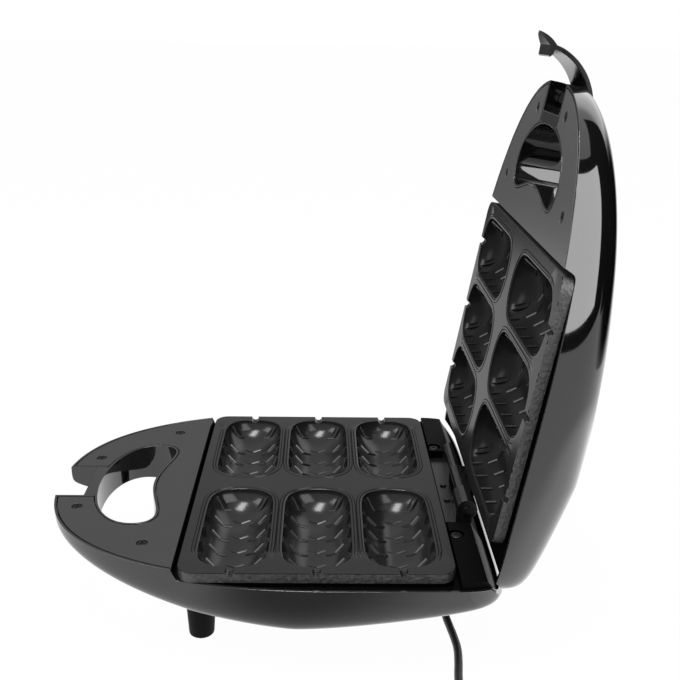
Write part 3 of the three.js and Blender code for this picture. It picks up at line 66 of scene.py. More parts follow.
MILLIMETRE = 0.001
GAP = 0.3
PARTING = -0.3
CLEAR = 2.0  # how far a cut runs past what it cuts
OVERLAP = 0.1  # how far joined solids reach into each other
MERGE, DISH_MERGE = 0.01, 0.002  # distances at which two points become one
FAR = 130.0
LOW_TOP, MIDDLE_TOP, HIGH_TOP = 4.0, 6.0, 8.0  # where working solids end, each clear of the one before
TIP = 0.5  # least width and depth of a dish, which keeps its ends closed
SKIN = 0.6  # how far the housing is drawn in, so that its finer form stays inside the node
UNDER_SKIN = SKIN - 0.05
SHARP, PLATE_SHARP = 32.0, 38.0  # angles in degrees above which an edge shows
FINE, COARSE, ROUGH = (120, 96), (72, 64), (60, 48)  # steps of a dish along and round it

# Housing outline
NOSE_REACH = 164.0
NOSE_END = -NOSE_REACH - CLEAR
REAR_REACH = 105.0
HALF_WIDTH = 116.0
WIDEST_AT = 15.0
NOSE_POWER = 2.4
REAR_POWER = 11.0
REAR_SPAN = 160.0
EDGE_POWER = 24.0
SPREAD_POWER = 2.1
WALL = 2.5
SECTION_BLEND = 100.0

# Rim and inner frame
COVER_EDGE = -78.7
RIM_DROP = 6.5
RIM_STEPS = ((0.0, 0.0), (0.08, 0.18), (0.2, 0.4), (0.34, 0.64), (0.5, 0.85), (0.72, 0.96), (1.0, 1.0))
RIM_STEP_LENGTH = 5.0
RIM_REAR_START = 93.5
RIM_REAR_DROP = 19.0
FRAME_DROP = 9.0
FRAME_THICK = 2.3
FRAME_LAND = 4.6
FRAME_REAR_EDGE = 91.5
FRAME_REAR_END = 101.5
FRAME_REAR_DROP = 18.5
FRAME_BOTTOM = -FRAME_DROP - FRAME_THICK
FRAME_REAR_BOTTOM = -FRAME_REAR_DROP - FRAME_THICK
FRAME_CUT = FRAME_BOTTOM - 3.0
DECK_NEAR = 47.0
DECK_FAR = 54.0
DECK_RECESS = 9.4

# Handle
COVER_BOTTOM = PARTING - 2.5
COVER_INSET = 2.8
COVER_ROOM = 6.0
SEAM = 0.9
NOTCH_BACK = 145.0
NOTCH_HALF = 19.5
NOTCH_LIP = 2.4
HOLE_NOSE = 138.4
HOLE_PLATE = 104.5
HOLE_CORNER = 97.0
HOLE_HALF = 54.0
HOLE_CORNER_OUT = 43.0
HOLE_LIP = 2.3
HOLE_FLAT, HOLE_TURN = 0.15, 0.08  # shares of its half width
HOLE_PULLS = (0.75, 1.15, 0.72, 0.42)  # how far out its curves' handles lie, as shares of HOLE_CORNER_OUT
POCKET_TOP = -16.8  # the underside of the bar across the base's notch
POCKET_WALL = 1.2

# Screws: places in x and y, then for each kind the diameter of its head and the length of its shank
COVER_SCREWS = ((-145.5, -34.0), (-145.5, 34.0), (-98.8, -76.4), (-98.8, 76.4))
DECK_SCREWS = ((81.5, -60.5), (81.5, 60.5))
COUNTERBORE = 1.6
COVER_HEAD, COVER_SHANK = 5.9, 9.0
DECK_HEAD, DECK_SHANK = 6.6, 13.0
SHANK_WIDE, SHANK_HOLE = 2.6, 3.2
HEAD_RISE, HEAD_ROUND, HEAD_ROOM = 1.1, 0.6, 0.8
CROSS_SHARE, CROSS_HALF, CROSS_TOP = 0.32, 0.42, 3.0

# Cooking plates
PLATE_LENGTH = 151.2
PLATE_WIDTH = 214.9
PLATE_CORNER = 9.0
PLATE_SKIRT = 6.2
SKIRT_RINGS = (0.5 - PARTING, 1.6, 3.2, 4.8, PLATE_SKIRT)
PLATE_WALL = 2.4
CUP_PITCH = 47.0
CUP_COLUMNS = (-CUP_PITCH, 0.0, CUP_PITCH)
CUP_ROWS = (-55.1, 55.1)
CUP_PLACES = [(x, y) for x in CUP_COLUMNS for y in CUP_ROWS]
CUP_HALF_WIDTH = 20.0
CUP_HALF_LENGTH = 45.9
CUP_DEPTH = 17.0
CUP_END_POWER, CUP_SIDE_POWER = 8, 1.9
KEEL_END_POWER, KEEL_SIDE_POWER = 3, 2.2
STICK_RADIUS = 2.4
STICK_REACH = 5.0
STICK_OUT = 1.0
STICK_TOP = 3.0
RIM_TURN = 0.93
RIM_STEPS_A_SIDE = 28
CAVITY_RINGS, RING_POWER = 22, 1.2
EDGE_BAND, EDGE_TOP, UPRIGHT = 3.0, PARTING - 0.25, 0.7
BEAD = (
    (3.45, 0.0),
    (3.2, -0.38),
    (2.9, 0.24),
    (1.75, 0.24),
    (1.45, -0.38),
    (1.15, 0.0),
    (0.45, -0.02),
    (0.0, -0.35),
)
BEAD_FADE = (27.0, 37.0)

# Ribs: two ends about the row's place, radius and which of the plate's finishes they have; the ribs on the
# highlight slot get a lighter, glossier copy of the coating, a painted highlight
CAST_SLOT, RIB_HIGHLIGHT_SLOT = 1, 2
NEAR_ROWS = (26.1, 10.7, -5.5, -22.2)
FAR_ROWS = (21.6, 4.9, -11.6, -28.0)
ROW_RIBS = (
    ((-16.2, 0.2), (-11.0, -3.3), 0.95, RIB_HIGHLIGHT_SLOT),
    ((-11.0, -3.3), (-5.6, -1.9), 0.95, 0),
    ((-5.3, 3.4), (0.0, 2.0), 0.6, 0),
    ((0.0, 2.0), (5.3, 4.2), 0.6, RIB_HIGHLIGHT_SLOT),
    ((15.8, 1.6), (10.9, -2.0), 0.95, RIB_HIGHLIGHT_SLOT),
    ((10.9, -2.0), (5.4, -1.2), 0.95, 0),
)
END_RIBS = (
    ((16.0, 39.7), (11.4, 35.8), 0.6, RIB_HIGHLIGHT_SLOT),
    ((11.4, 35.8), (7.2, 37.6), 0.6, 0),
    ((13.2, 41.6), (9.4, 38.4), 0.45, 0),
)
RIM_TEETH = (31.7, 15.4, -1.0, -17.4, -33.6)
TOOTH_RADIUS = 1.0
TOOTH_RUN = (1.6, 0.9)
TOOTH_SHY = 0.01
RIB_SINK = 0.25

# Latch: places and runs in x and z, seen from the side
LATCH_PIVOT = (-153.0, 13.0)
LATCH_BARREL = 5.5
LATCH_HALF = 18.6
LATCH_ARC = (-145.8, -17.4)
LATCH_ANGLES = (math.radians(106.0), math.radians(166.8))
LATCH_RADIUS = 36.1
LATCH_THICK = 2.4
PIN_RADIUS = 1.8
PIN_HOLE_HALF = 24.0
TONGUE_RUN, TONGUE_DROP, TONGUE_WIDE = 6.2, 8.1, 16.0
TONGUE_BEND = (0.61, 0.33)
TONGUE_FULL = 0.55
TONGUE_EDGE = 1.2
HOOK_RUN, HOOK_DROP, HOOK_ROOT = 4.2, 2.5, 1.8
FRONT_TOP, FRONT_SHOULDER, FRONT_REACH, FRONT_AT = 26.0, 3.0, 90.0, -150.0
HOOK_SHARES = ((0.85, 0.85), (1.0, 0.5), (0.6, 0.1), (0.0, 0.0))

# Feet and lenses
FOOT_TABLE, FOOT_TIP, FOOT_TOP, FOOT_SEAT = -65.5, 7.4, 9.5, 1.5
FOOT_ROUND = 1.1
LENS_X, LENS_Y = -62.0, 13.0
LENS_RADIUS, LENS_PROUD, LENS_SUNK = 4.5, 1.5, 1.2
LENS_STEM, LENS_BORE, LENS_LENGTH, LENS_ROUND = 6.0, 6.6, 5.0, 0.9
LENS_BORE_HEIGHTS = (-60.0, -25.0)

# Strain relief: runs are measured along its axis, outward from the housing
RELIEF_X, RELIEF_Y = 77.5, 8.0
RELIEF_SLOPE = math.radians(36.9)
RELIEF_BACK, RELIEF_END = -9.0, 24.0
RELIEF_WIDE, RELIEF_NARROW, RELIEF_NECK, RELIEF_BORE = 5.5, 3.5, 4.2, 4.5
GROOVES, GROOVE_FIRST, GROOVE_PITCH, GROOVE_WIDE, GROOVE_DEEP = 5, 6.0, 3.6, 1.5, 0.75
CORD_SEAT, CORD_SEAT_AT = 2.5, 19.2

# Cord, as the frame lays it: x, y and the height of its centre above the table
CORD_DIAMETER = 4.8
CORD_LOW = CORD_DIAMETER / 2
CORD_ROUTE = (
    (77.5, -7.6, 24.0),
    (77.5, -12.8, 20.1),
    (77.5, -20.0, 15.2),
    (77.5, -28.0, 10.4),
    (77.7, -36.0, 6.7),
    (78.1, -45.0, 3.9),
    (78.9, -54.0, 2.7),
    (80.2, -65.0, CORD_LOW),
    (81.4, -76.0, CORD_LOW),
    (81.9, -86.0, CORD_LOW),
    (81.0, -97.0, CORD_LOW),
    (79.0, -112.0, CORD_LOW),
    (78.0, -125.0, CORD_LOW),
    (77.7, -138.0, CORD_LOW),
    (77.7, -151.0, CORD_LOW),
)
COIL_TURNS = 3.25
COIL_STEPS = 18
COIL_MIDDLE = (47.2, -156.1)
COIL_RADIUS, COIL_TIGHT_AT, COIL_PITCH = 22.4, 1.5, 5.4
CLIMB_START, CLIMB_TURNS = 1.25, 0.5
TAIL_SHARES = (0.0, 0.12, 0.3, 0.5, 0.7, 0.88, 1.0)
TAIL_LENGTH = 52.0
TAIL_SAG = 2.6

# Plug: its profile is runs over neck and body, shares of its half width and shares of its half height
PLUG_NECK, PLUG_BODY, PLUG_HALF, PLUG_RISE = 14.0, 36.0, 13.5, 7.5
PLUG_SEAT = 0.2
PLUG_SQUARE = 0.8
PIN_ROUND = 0.55
PLUG_PROFILE = (
    (0.0, 0.27, 0.49),
    (0.7, 0.27, 0.49),
    (1.0, 0.3, 0.56),
    (1.03, 0.42, 0.74),
    (1.1, 0.6, 0.9),
    (1.2, 0.72, 0.96),
    (1.4, 0.86, 1.0),
    (1.75, 1.0, 1.0),
    (1.97, 1.0, 1.0),
    (2.0, 0.95, 0.92),
)

# Studio
GROUND_WHITE = 0.98
SKY = 0.55
LIGHT_AIM = Vector((0.0, 0.0, 0.12))
CARD_AIM = Vector((0.12, -0.09, 0.22))
CARD_FADE = 0.45


# Materials


def feed(tree: bpy.types.NodeTree, node: bpy.types.Node, feeds: dict[str | int, object]) -> None:
    """Sets a node's inputs.

    Args:
        tree: The node tree.
        node: The node.
        feeds: For each input a socket to link or a plain value.
    """
    for name, value in feeds.items():
        if isinstance(value, bpy.types.NodeSocket):
            tree.links.new(value, node.inputs[name])
        else:
            node.inputs[name].default_value = value


def add_node(
    tree: bpy.types.NodeTree, kind: str, feeds: dict[str | int, object] | None = None, **settings: object
) -> bpy.types.NodeOutputs:
    """Adds a shader node.

    Args:
        tree: The node tree.
        kind: Its kind, without the usual prefix.
        feeds: What its inputs get.
        settings: Its own settings.

    Returns:
        Its outputs.
    """
    node = tree.nodes.new("ShaderNode" + kind)
    for name, value in settings.items():
        setattr(node, name, value)
    feed(tree, node, feeds or {})
    return node.outputs


def new_material(name: str) -> bpy.types.Material:
    """Returns a new material with nodes."""
    material = bpy.data.materials.new(name)
    material.use_nodes = True
    return material


def grey(tone: float, blue: float | None = None) -> Tone:
    """Returns a grey, whose blue can differ a little."""
    return (tone, tone, tone if blue is None else blue)


@dataclass(frozen=True)
class Finish:
    """A moulded, cast or metal surface.

    Attributes:
        name: Name of the material.
        dark: Darker tone.
        light: Lighter tone.
        rough: Lowest and highest roughness.
        metal: How metallic it is.
        grain: Grains a millimetre of the fine relief.
        relief: Height of the fine relief in millimetres.
        cloud: Patches a millimetre of the slow change in tone.
        specular: Specular level.
        coat: Weight of a clear coat.
        edge: Radius in millimetres by which the light rounds its edges.
    """

    name: str
    dark: Tone
    light: Tone
    rough: tuple[float, float]
    metal: float = 0.0
    grain: float = 1.6
    relief: float = 0.02
    cloud: float = 0.02
    specular: float = 0.5
    coat: float = 0.0
    edge: float = 0.0

    def build(self) -> bpy.types.Material:
        """Makes the finish.

        Returns:
            The node material.
        """
        material = new_material(self.name)
        tree = material.node_tree
        place = add_node(tree, "TexCoord")["Object"]
        slow, fine = (
            add_node(tree, "TexNoise", {"Vector": place, "Scale": scale / MILLIMETRE, "Detail": detail})["Fac"]
            for scale, detail in ((self.cloud, 3.0), (self.grain, 2.0))
        )
        tones = {"Factor": slow, "A": (*self.dark, 1.0), "B": (*self.light, 1.0)}
        shine = {"Value": fine, "To Min": self.rough[0], "To Max": self.rough[1]}
        relief = {"Height": fine, "Strength": 1.0, "Distance": self.relief * MILLIMETRE}
        if self.edge:
            relief["Normal"] = add_node(tree, "Bevel", {"Radius": self.edge * MILLIMETRE}, samples=8)["Normal"]
        surface = {
            "Metallic": self.metal,
            "Specular IOR Level": self.specular,
            "Coat Weight": self.coat,
            "Coat Roughness": 0.05,
            "Base Color": add_node(tree, "Mix", tones, data_type="RGBA")["Result"],
            "Roughness": add_node(tree, "MapRange", shine)["Result"],
            "Normal": add_node(tree, "Bump", relief)["Normal"],
        }
        feed(tree, tree.nodes["Principled BSDF"], surface)
        return material


class Look(Enum):
    """The finishes of the object."""

    SHELL = Finish(
        "glossy_black_plastic", grey(0.003, 0.0032), grey(0.005, 0.0052), (0.035, 0.06),
        grain=0.5, relief=0.001, specular=0.9, edge=0.45,
    )
    BASE_COVER = Finish(
        "dark_satin_plastic", grey(0.018, 0.0185), grey(0.023, 0.0235), (0.3, 0.36),
        grain=3.0, relief=0.008, specular=0.4, edge=0.3,
    )
    # The lid's cover is the base cover's satin plastic painted lighter and shinier: painted light standing for
    # the brighter light on its grazing face.
    LIT_LID_COVER = Finish(
        "satin_plastic_painted_lighter", grey(0.042, 0.0428), grey(0.05, 0.0512), (0.3, 0.36),
        grain=3.0, relief=0.008, specular=0.62, edge=0.3,
    )
    INNER = Finish(
        "black_inner_plastic", grey(0.001, 0.0011), grey(0.002, 0.0021), (0.3, 0.4),
        grain=2.0, relief=0.004, specular=0.03, edge=0.35,
    )
    COATING = Finish(
        "dark_nonstick_coating", grey(0.007, 0.0074), grey(0.012, 0.0124), (0.15, 0.22),
        grain=2.4, relief=0.008, specular=0.28,
    )
    # The lid's plate is the same coating as the base plate, painted darker and less shiny: a painted shade.
    SHADED_LID_COATING = Finish(
        "lid_coating_painted_shade", grey(0.005, 0.0053), grey(0.008, 0.0083), (0.2, 0.28),
        grain=2.4, relief=0.008, specular=0.07,
    )
    # A lighter, glossier copy of the coating on some ribs only: a painted highlight.
    RIB_HIGHLIGHT = Finish(
        "rib_coating_painted_highlight", grey(0.03, 0.031), grey(0.05, 0.051), (0.16, 0.22),
        grain=2.4, relief=0.006, specular=0.9,
    )
    CAST = Finish("rough_cast_edge", grey(0.0), grey(0.075, 0.077), (0.2, 0.6), grain=0.5, relief=0.5, cloud=0.6)
    RUBBER = Finish(
        "black_rubber", grey(0.002), grey(0.004), (0.5, 0.65), grain=1.4, relief=0.03, specular=0.08
    )
    SHEATH = Finish("black_cord_sheath", grey(0.009), grey(0.014), (0.4, 0.5), grain=2.0, relief=0.015)
    DARK_STEEL = Finish(
        "dark_screw_steel", grey(0.012, 0.0125), grey(0.03, 0.031), (0.3, 0.42), metal=0.8, grain=3.0
    )
    STEEL = Finish("bare_steel", grey(0.42, 0.43), grey(0.52, 0.53), (0.25, 0.38), metal=1.0, grain=2.0)
    NICKEL = Finish(
        "plug_pin_nickel", (0.6, 0.58, 0.54), (0.68, 0.66, 0.62), (0.16, 0.24), metal=1.0, grain=1.0
    )
    HEATER = Finish(
        "heater_sheath_steel", (0.16, 0.15, 0.14), (0.27, 0.25, 0.23), (0.4, 0.55), metal=1.0, grain=1.0
    )
    HINGE = Finish(
        "black_hinge_enamel", grey(0.004, 0.0042), grey(0.008, 0.0082), (0.16, 0.24),
        grain=1.0, relief=0.01, specular=0.55, edge=0.3,
    )
    LATCH = Finish(
        "black_latch_plastic", grey(0.003, 0.0032), grey(0.005, 0.0052), (0.08, 0.14),
        grain=0.5, relief=0.002, specular=0.22, edge=0.4,
    )
    CERAMIC = Finish("white_ceramic", (0.7, 0.68, 0.64), (0.78, 0.76, 0.72), (0.35, 0.45), grain=1.0)
    RED = Finish("red_lens_plastic", (0.42, 0.012, 0.01), (0.5, 0.018, 0.014), (0.06, 0.1), coat=0.4)
    GREEN = Finish("green_lens_plastic", (0.01, 0.26, 0.05), (0.014, 0.32, 0.065), (0.06, 0.1), coat=0.4)

    @cache
    def material(self) -> bpy.types.Material:
        """Returns the finish's material, which is made once."""
        return self.value.build()


# Places and forms of the two halves


class Place(Enum):
    """Which drawing frame a piece leaves from, named as the body that it rides on."""

    BASE = "base"
    LID = "lid"
    LATCH = "latch"

    def move(self) -> Matrix:
        """Reads the move from plan millimetres to the frame.

        Returns:
            The matrix that takes plan millimetres to metres at rest.
        """
        low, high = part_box("base_plate")
        origin = Vector(((low.x + high.x) / 2, (low.y + high.y) / 2, high.z - PARTING * MILLIMETRE))
        ground = Matrix.Translation(origin) @ Matrix.Scale(MILLIMETRE, 4)
        if self is Place.BASE:
            return ground
        hinge = next(joint for joint in frame["joints"] if joint["name"] == "lid_hinge")
        pivot = Matrix.Translation((Vector(hinge["pos_m"]) - origin) / MILLIMETRE)
        opening = math.radians(-min(hinge["range_deg"]))
        swung = ground @ pivot @ Matrix.Rotation(opening, 4, "Y") @ pivot.inverted()
        if self is Place.LATCH:
            return swung
        return swung @ Matrix.Diagonal((1.0, 1.0, -1.0, 1.0))


def round_off(share: float, power: float) -> float:
    """Returns how far a rounded profile still stands at a share of the way to its end."""
    return max(0.0, 1.0 - share**power) ** (1.0 / power)


def signed_power(value: float, power: float) -> float:
    """Returns the power of a value's size with the value's sign."""
    return math.copysign(abs(value) ** power, value)


def half_width_at(x: float, inset: float = 0.0) -> float:
    """Half the width of the housing seen from above.

    Args:
        x: Place along the housing.
        inset: How far the outline is drawn in.

    Returns:
        The distance from the middle line to the outline.
    """
    front = x < WIDEST_AT
    reach = (NOSE_REACH + WIDEST_AT if front else REAR_REACH - WIDEST_AT) - inset
    power = NOSE_POWER if front else REAR_POWER
    return (HALF_WIDTH - inset) * round_off(min(1.0, abs(x - WIDEST_AT) / reach), power)


@dataclass(frozen=True)
class HalfForm:
    """What makes one half differ from the other.

    Attributes:
        place: Its drawing frame.
        cover: The finish of its handle cover.
        coating: The finish of its plate.
        depth: Depth of the housing at its deepest.
        deepest_at: Where along the housing that is.
        nose_height: Depth left at the tip of the handle.
        front_power: How full the keel is towards the handle.
        rear_power: How full the keel is towards the hinge.
        nose_section: How square the section is at the handle.
        body_section: How square the section is at the plates.
        deck_drop: How far the decks by the hinge lie below the parting plane.
        screw_seat: Height of the seats of the frame's screws.
    """

    place: Place
    cover: Look
    coating: Look
    depth: float
    deepest_at: float
    nose_height: float
    front_power: float
    rear_power: float
    nose_section: float
    body_section: float
    deck_drop: float
    screw_seat: float

    def depth_at(self, x: float, inset: float = 0.0) -> float:
        """Depth of the housing below the parting plane.

        Args:
            x: Place along the housing.
            inset: How far the form is drawn in.

        Returns:
            The depth of the keel there.
        """
        run = abs(x - self.deepest_at)
        if x < self.deepest_at:
            share = min(1.0, run / (self.deepest_at + NOSE_REACH))
            rise = round_off(share, self.front_power)
            return self.nose_height + (self.depth - self.nose_height) * rise - inset
        edge = round_off(min(1.0, run / (REAR_REACH - self.deepest_at)), EDGE_POWER)
        return self.depth * round_off(run / REAR_SPAN, self.rear_power) * edge - inset

    def section_at(self, x: float) -> float:
        """Returns how square the cross-section is at a place along the housing."""
        share = min(1.0, (x + NOSE_REACH) / SECTION_BLEND)
        return self.nose_section + (self.body_section - self.nose_section) * share


BASE = HalfForm(
    Place.BASE, Look.BASE_COVER, Look.COATING,
    depth=43.0, deepest_at=-12.8, nose_height=10.7, front_power=1.21, rear_power=1.5,
    nose_section=3.2, body_section=6.0, deck_drop=2.5, screw_seat=-4.5,
)
# The lid's cover finish carries painted light and its plate finish painted shade.
LID = HalfForm(
    Place.LID, Look.LIT_LID_COVER, Look.SHADED_LID_COATING,
    depth=50.1, deepest_at=36.0, nose_height=9.9, front_power=1.59, rear_power=1.18,
    nose_section=4.0, body_section=3.6, deck_drop=FRAME_DROP, screw_seat=-10.0,
)


# Mesh work in plan millimetres


def linked(data: bpy.types.ID) -> bpy.types.Object:
    """Returns a new object of some data, named like it and linked to the scene."""
    made = bpy.data.objects.new(data.name, data)
    bpy.context.scene.collection.objects.link(made)
    return made


def temporary(mesh: bmesh.types.BMesh, turn: bool = True) -> bpy.types.Object:
    """Puts a mesh in a working object.

    Args:
        mesh: The mesh, which is freed.
        turn: Whether its faces have to be turned outward first.

    Returns:
        The object.
    """
    if turn:
        bmesh.ops.recalc_face_normals(mesh, faces=mesh.faces[:])
    data = bpy.data.meshes.new("work")
    mesh.to_mesh(data)
    mesh.free()
    return linked(data)


def evaluated(work: bpy.types.Object) -> bpy.types.Mesh:
    """Returns a new mesh of an object with its modifiers applied."""
    graph = bpy.context.evaluated_depsgraph_get()
    return bpy.data.meshes.new_from_object(work.evaluated_get(graph))


def settle(work: bpy.types.Object) -> None:
    """Applies a working object's modifiers."""
    made = evaluated(work)
    made.materials.clear()
    work.modifiers.clear()
    old, work.data = work.data, made
    bpy.data.meshes.remove(old)


def discard(work: bpy.types.Object) -> None:
    """Removes a working object with its mesh."""
    data = work.data
    bpy.data.objects.remove(work)
    bpy.data.meshes.remove(data)


def absorb(mesh: bmesh.types.BMesh, work: bpy.types.Object) -> None:
    """Moves a working object's mesh into another mesh as it is."""
    mesh.from_mesh(work.data)
    discard(work)


def combine(body: bpy.types.Object, tools: Sequence[bpy.types.Object], how: str) -> bpy.types.Object:
    """Cuts, joins or intersects a solid with others, which are used up.

    Args:
        body: The solid that stays.
        tools: The other solids.
        how: DIFFERENCE, UNION or INTERSECT.

    Returns:
        The body.
    """
    for tool in tools:
        step = body.modifiers.new("step", "BOOLEAN")
        step.operation = how
        step.solver = "MANIFOLD"
        step.object = tool
    settle(body)
    for tool in tools:
        discard(tool)
    return body


def cut(body: bpy.types.Object, *tools: bpy.types.Object) -> bpy.types.Object:
    """Returns a solid from which others are taken away."""
    return combine(body, tools, "DIFFERENCE")


def join(body: bpy.types.Object, *tools: bpy.types.Object) -> bpy.types.Object:
    """Returns a solid to which others are added."""
    return combine(body, tools, "UNION")


def open_edges(mesh: bmesh.types.BMesh) -> list[bmesh.types.BMEdge]:
    """Returns the edges round a mesh's openings."""
    return [edge for edge in mesh.edges if edge.is_boundary]


def new_corners(grown: dict[str, list]) -> list[bmesh.types.BMVert]:
    """Returns the vertices that an extrusion made."""
    return [item for item in grown["geom"] if isinstance(item, bmesh.types.BMVert)]


def thicken(mesh: bmesh.types.BMesh, height: float) -> None:
    """Raises a flat mesh into a solid."""
    top = new_corners(bmesh.ops.extrude_face_region(mesh, geom=mesh.faces[:]))
    bmesh.ops.translate(mesh, verts=top, vec=(0.0, 0.0, height))


def round_end(mesh: bmesh.types.BMesh, toward: Point, limit: float, width: float, segments: int) -> None:
    """Rounds the edges at one end of a solid.

    Args:
        mesh: The solid's mesh.
        toward: The direction of that end.
        limit: How far along the direction an edge has to lie.
        width: Width of the rounding.
        segments: Steps across it.
    """
    way = Vector(toward)
    edges = [edge for edge in mesh.edges if all(vertex.co.dot(way) > limit for vertex in edge.verts)]
    bmesh.ops.bevel(
        mesh, geom=edges, offset=width, offset_type="OFFSET", segments=segments,
        profile=0.5, affect="EDGES", material=-1,
    )


def prism(points: Outline, low: float, high: float) -> bpy.types.Object:
    """A block of an outline seen from above.

    Args:
        points: The outline in x and y.
        low: Its lower height.
        high: Its upper height.

    Returns:
        The working object.
    """
    mesh = bmesh.new()
    circle = bmesh.ops.create_circle(mesh, cap_ends=True, segments=len(points), radius=1.0)
    for vertex, (x, y) in zip(circle["verts"], points):
        vertex.co = (x, y, low)
    thicken(mesh, high - low)
    return temporary(mesh)


def slab(points: Outline, near: float, far: float) -> bpy.types.Object:
    """A block of an outline seen from the side.

    Args:
        points: The outline in x and z.
        near: Its lower y.
        far: Its upper y.

    Returns:
        The working object.
    """
    block = prism(points, near, far)
    block.data.transform(Matrix(((1, 0, 0, 0), (0, 0, 1, 0), (0, 1, 0, 0), (0, 0, 0, 1))))
    block.data.flip_normals()
    return block


def box(x0: float, x1: float, y0: float, y1: float, z0: float, z1: float) -> bpy.types.Object:
    """Returns a plain cutting block between two corners."""
    mesh = bmesh.new()
    middle = Matrix.Translation(((x0 + x1) / 2, (y0 + y1) / 2, (z0 + z1) / 2))
    bmesh.ops.create_cube(mesh, size=1.0, matrix=middle @ Matrix.Diagonal((x1 - x0, y1 - y0, z1 - z0, 1.0)))
    return temporary(mesh)


def cone(low: float, high: float, length: float, matrix: Matrix, sides: int = 40) -> bmesh.types.BMesh:
    """A closed taper whose mesh can still be worked on.

    Args:
        low: Radius at its lower end.
        high: Radius at its upper end.
        length: Its length.
        matrix: The move from an upright taper about the origin.
        sides: Flat sides round it.

    Returns:
        The mesh.
    """
    mesh = bmesh.new()
    bmesh.ops.create_cone(
        mesh, cap_ends=True, segments=sides, radius1=low, radius2=high, depth=length, matrix=matrix
    )
    return mesh


def rod(start: Point, end: Point, radius: float, tip: float | None = None) -> bpy.types.Object:
    """A round bar or taper.

    Args:
        start: Middle of its first end.
        end: Middle of its other end.
        radius: Radius at the first end.
        tip: Radius at the other end, if it differs.

    Returns:
        The working object.
    """
    first, last = Vector(start), Vector(end)
    along = last - first
    turn = along.to_track_quat("Z", "Y").to_matrix().to_4x4()
    matrix = Matrix.Translation((first + last) / 2) @ turn
    return temporary(cone(radius, radius if tip is None else tip, along.length, matrix))


def post(x: float, y: float, low: float, high: float, diameter: float) -> bpy.types.Object:
    """Returns an upright round bar."""
    return rod((x, y, low), (x, y, high), diameter / 2)


def tube(name: str, points: Sequence[Point], radius: float, fineness: int, handles: str) -> bpy.types.Object:
    """A round tube along points.

    Args:
        name: Its name.
        points: The points.
        radius: Its radius.
        fineness: How finely its section is rounded.
        handles: AUTO for a smooth run through the points, VECTOR for a straight one.

    Returns:
        The curve object.
    """
    curve = bpy.data.curves.new(name, "CURVE")
    curve.dimensions = "3D"
    curve.bevel_depth = radius
    curve.bevel_resolution = fineness
    curve.resolution_u = 4
    curve.use_fill_caps = True
    knots = curve.splines.new("BEZIER").bezier_points
    knots.add(len(points) - 1)
    for knot, point in zip(knots, points):
        knot.co = point
        knot.handle_left_type = knot.handle_right_type = handles
    return linked(curve)


def finish_piece(
    work: bpy.types.Object, name: str, place: Place, look: Look, node: str, sharp: float = SHARP
) -> bpy.types.Object:
    """Puts a working object where the frame has it and dresses it.

    Args:
        work: The object in plan millimetres.
        name: The piece's name.
        place: The drawing frame that it leaves from, and so the body that it rides on.
        look: Its finish.
        node: The frame's node that it replaces.
        sharp: Angle in degrees above which an edge stays an edge.

    Returns:
        The piece.
    """
    body, data, matrix = place.value, work.data, place.move()
    data.transform(matrix)
    if matrix.determinant() < 0:
        data.flip_normals()
    mesh = bmesh.new()
    mesh.from_mesh(data)
    for face in mesh.faces:
        face.smooth = True
    limit = math.radians(sharp)
    for edge in mesh.edges:
        edge.smooth = len(edge.link_faces) == 2 and edge.calc_face_angle(0.0) < limit
    mesh.to_mesh(data)
    mesh.free()
    data.materials.append(look.material())
    work.name = data.name = name
    log.info("%s on %s: %d faces, %s", name, body, len(data.polygons), look.value.name)
    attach(work, body)
    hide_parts(node)
    return work


# Forms of the halves


def ease(share: float) -> float:
    """Returns a share that moves slowly at both ends, so that stations spread evenly over flat sides."""
    if share <= 0.0 or share >= 1.0:
        return max(0.0, min(1.0, share))
    rise, fall = share**SPREAD_POWER, (1.0 - share) ** SPREAD_POWER
    return rise / (rise + fall)


def dish(half: HalfForm, inset: float, top: float, steps: tuple[int, int] = FINE) -> bpy.types.Object:
    """The housing's form below the parting plane, closed at a height above it.

    Args:
        half: The half's measures.
        inset: How far the form is drawn in.
        top: Height of the flat closure.
        steps: Steps along the housing and round the section.

    Returns:
        The working object.
    """
    mesh = bmesh.new()
    bmesh.ops.create_grid(mesh, x_segments=steps[0], y_segments=steps[1], size=1.0)
    start, end = inset - NOSE_REACH, REAR_REACH - inset
    for vertex in mesh.verts:
        turn, share = math.pi * (vertex.co.x + 1) / 2, vertex.co.y
        x = (start + end) / 2 - (end - start) / 2 * math.cos(turn)
        width = max(TIP, half_width_at(x, inset))
        depth = max(TIP, half.depth_at(x, inset))
        power = 2 / half.section_at(x)
        # Stations gather on the rounded corner and spread over the flat wall and floor
        angle = math.pi / 2 * ease(1.0 - abs(share))
        y = math.copysign(width * max(0.0, math.cos(angle)) ** power, share)
        vertex.co = (x, y, -depth * max(0.0, math.sin(angle)) ** power)
    for vertex in new_corners(bmesh.ops.extrude_edge_only(mesh, edges=open_edges(mesh))):
        vertex.co.z = top
    bmesh.ops.remove_doubles(mesh, verts=mesh.verts[:], dist=DISH_MERGE)
    bmesh.ops.holes_fill(mesh, edges=open_edges(mesh), sides=0)
    return temporary(mesh)


def bezier(a: Vector, b: Vector, c: Vector, d: Vector, steps: int) -> list[Plan]:
    """Returns points on a cubic curve, without its last one."""
    points = []
    for i in range(steps):
        t = i / steps
        point = a * (1 - t) ** 3 + b * 3 * t * (1 - t) ** 2 + c * 3 * t * t * (1 - t) + d * t**3
        points.append((point.x, point.y))
    return points


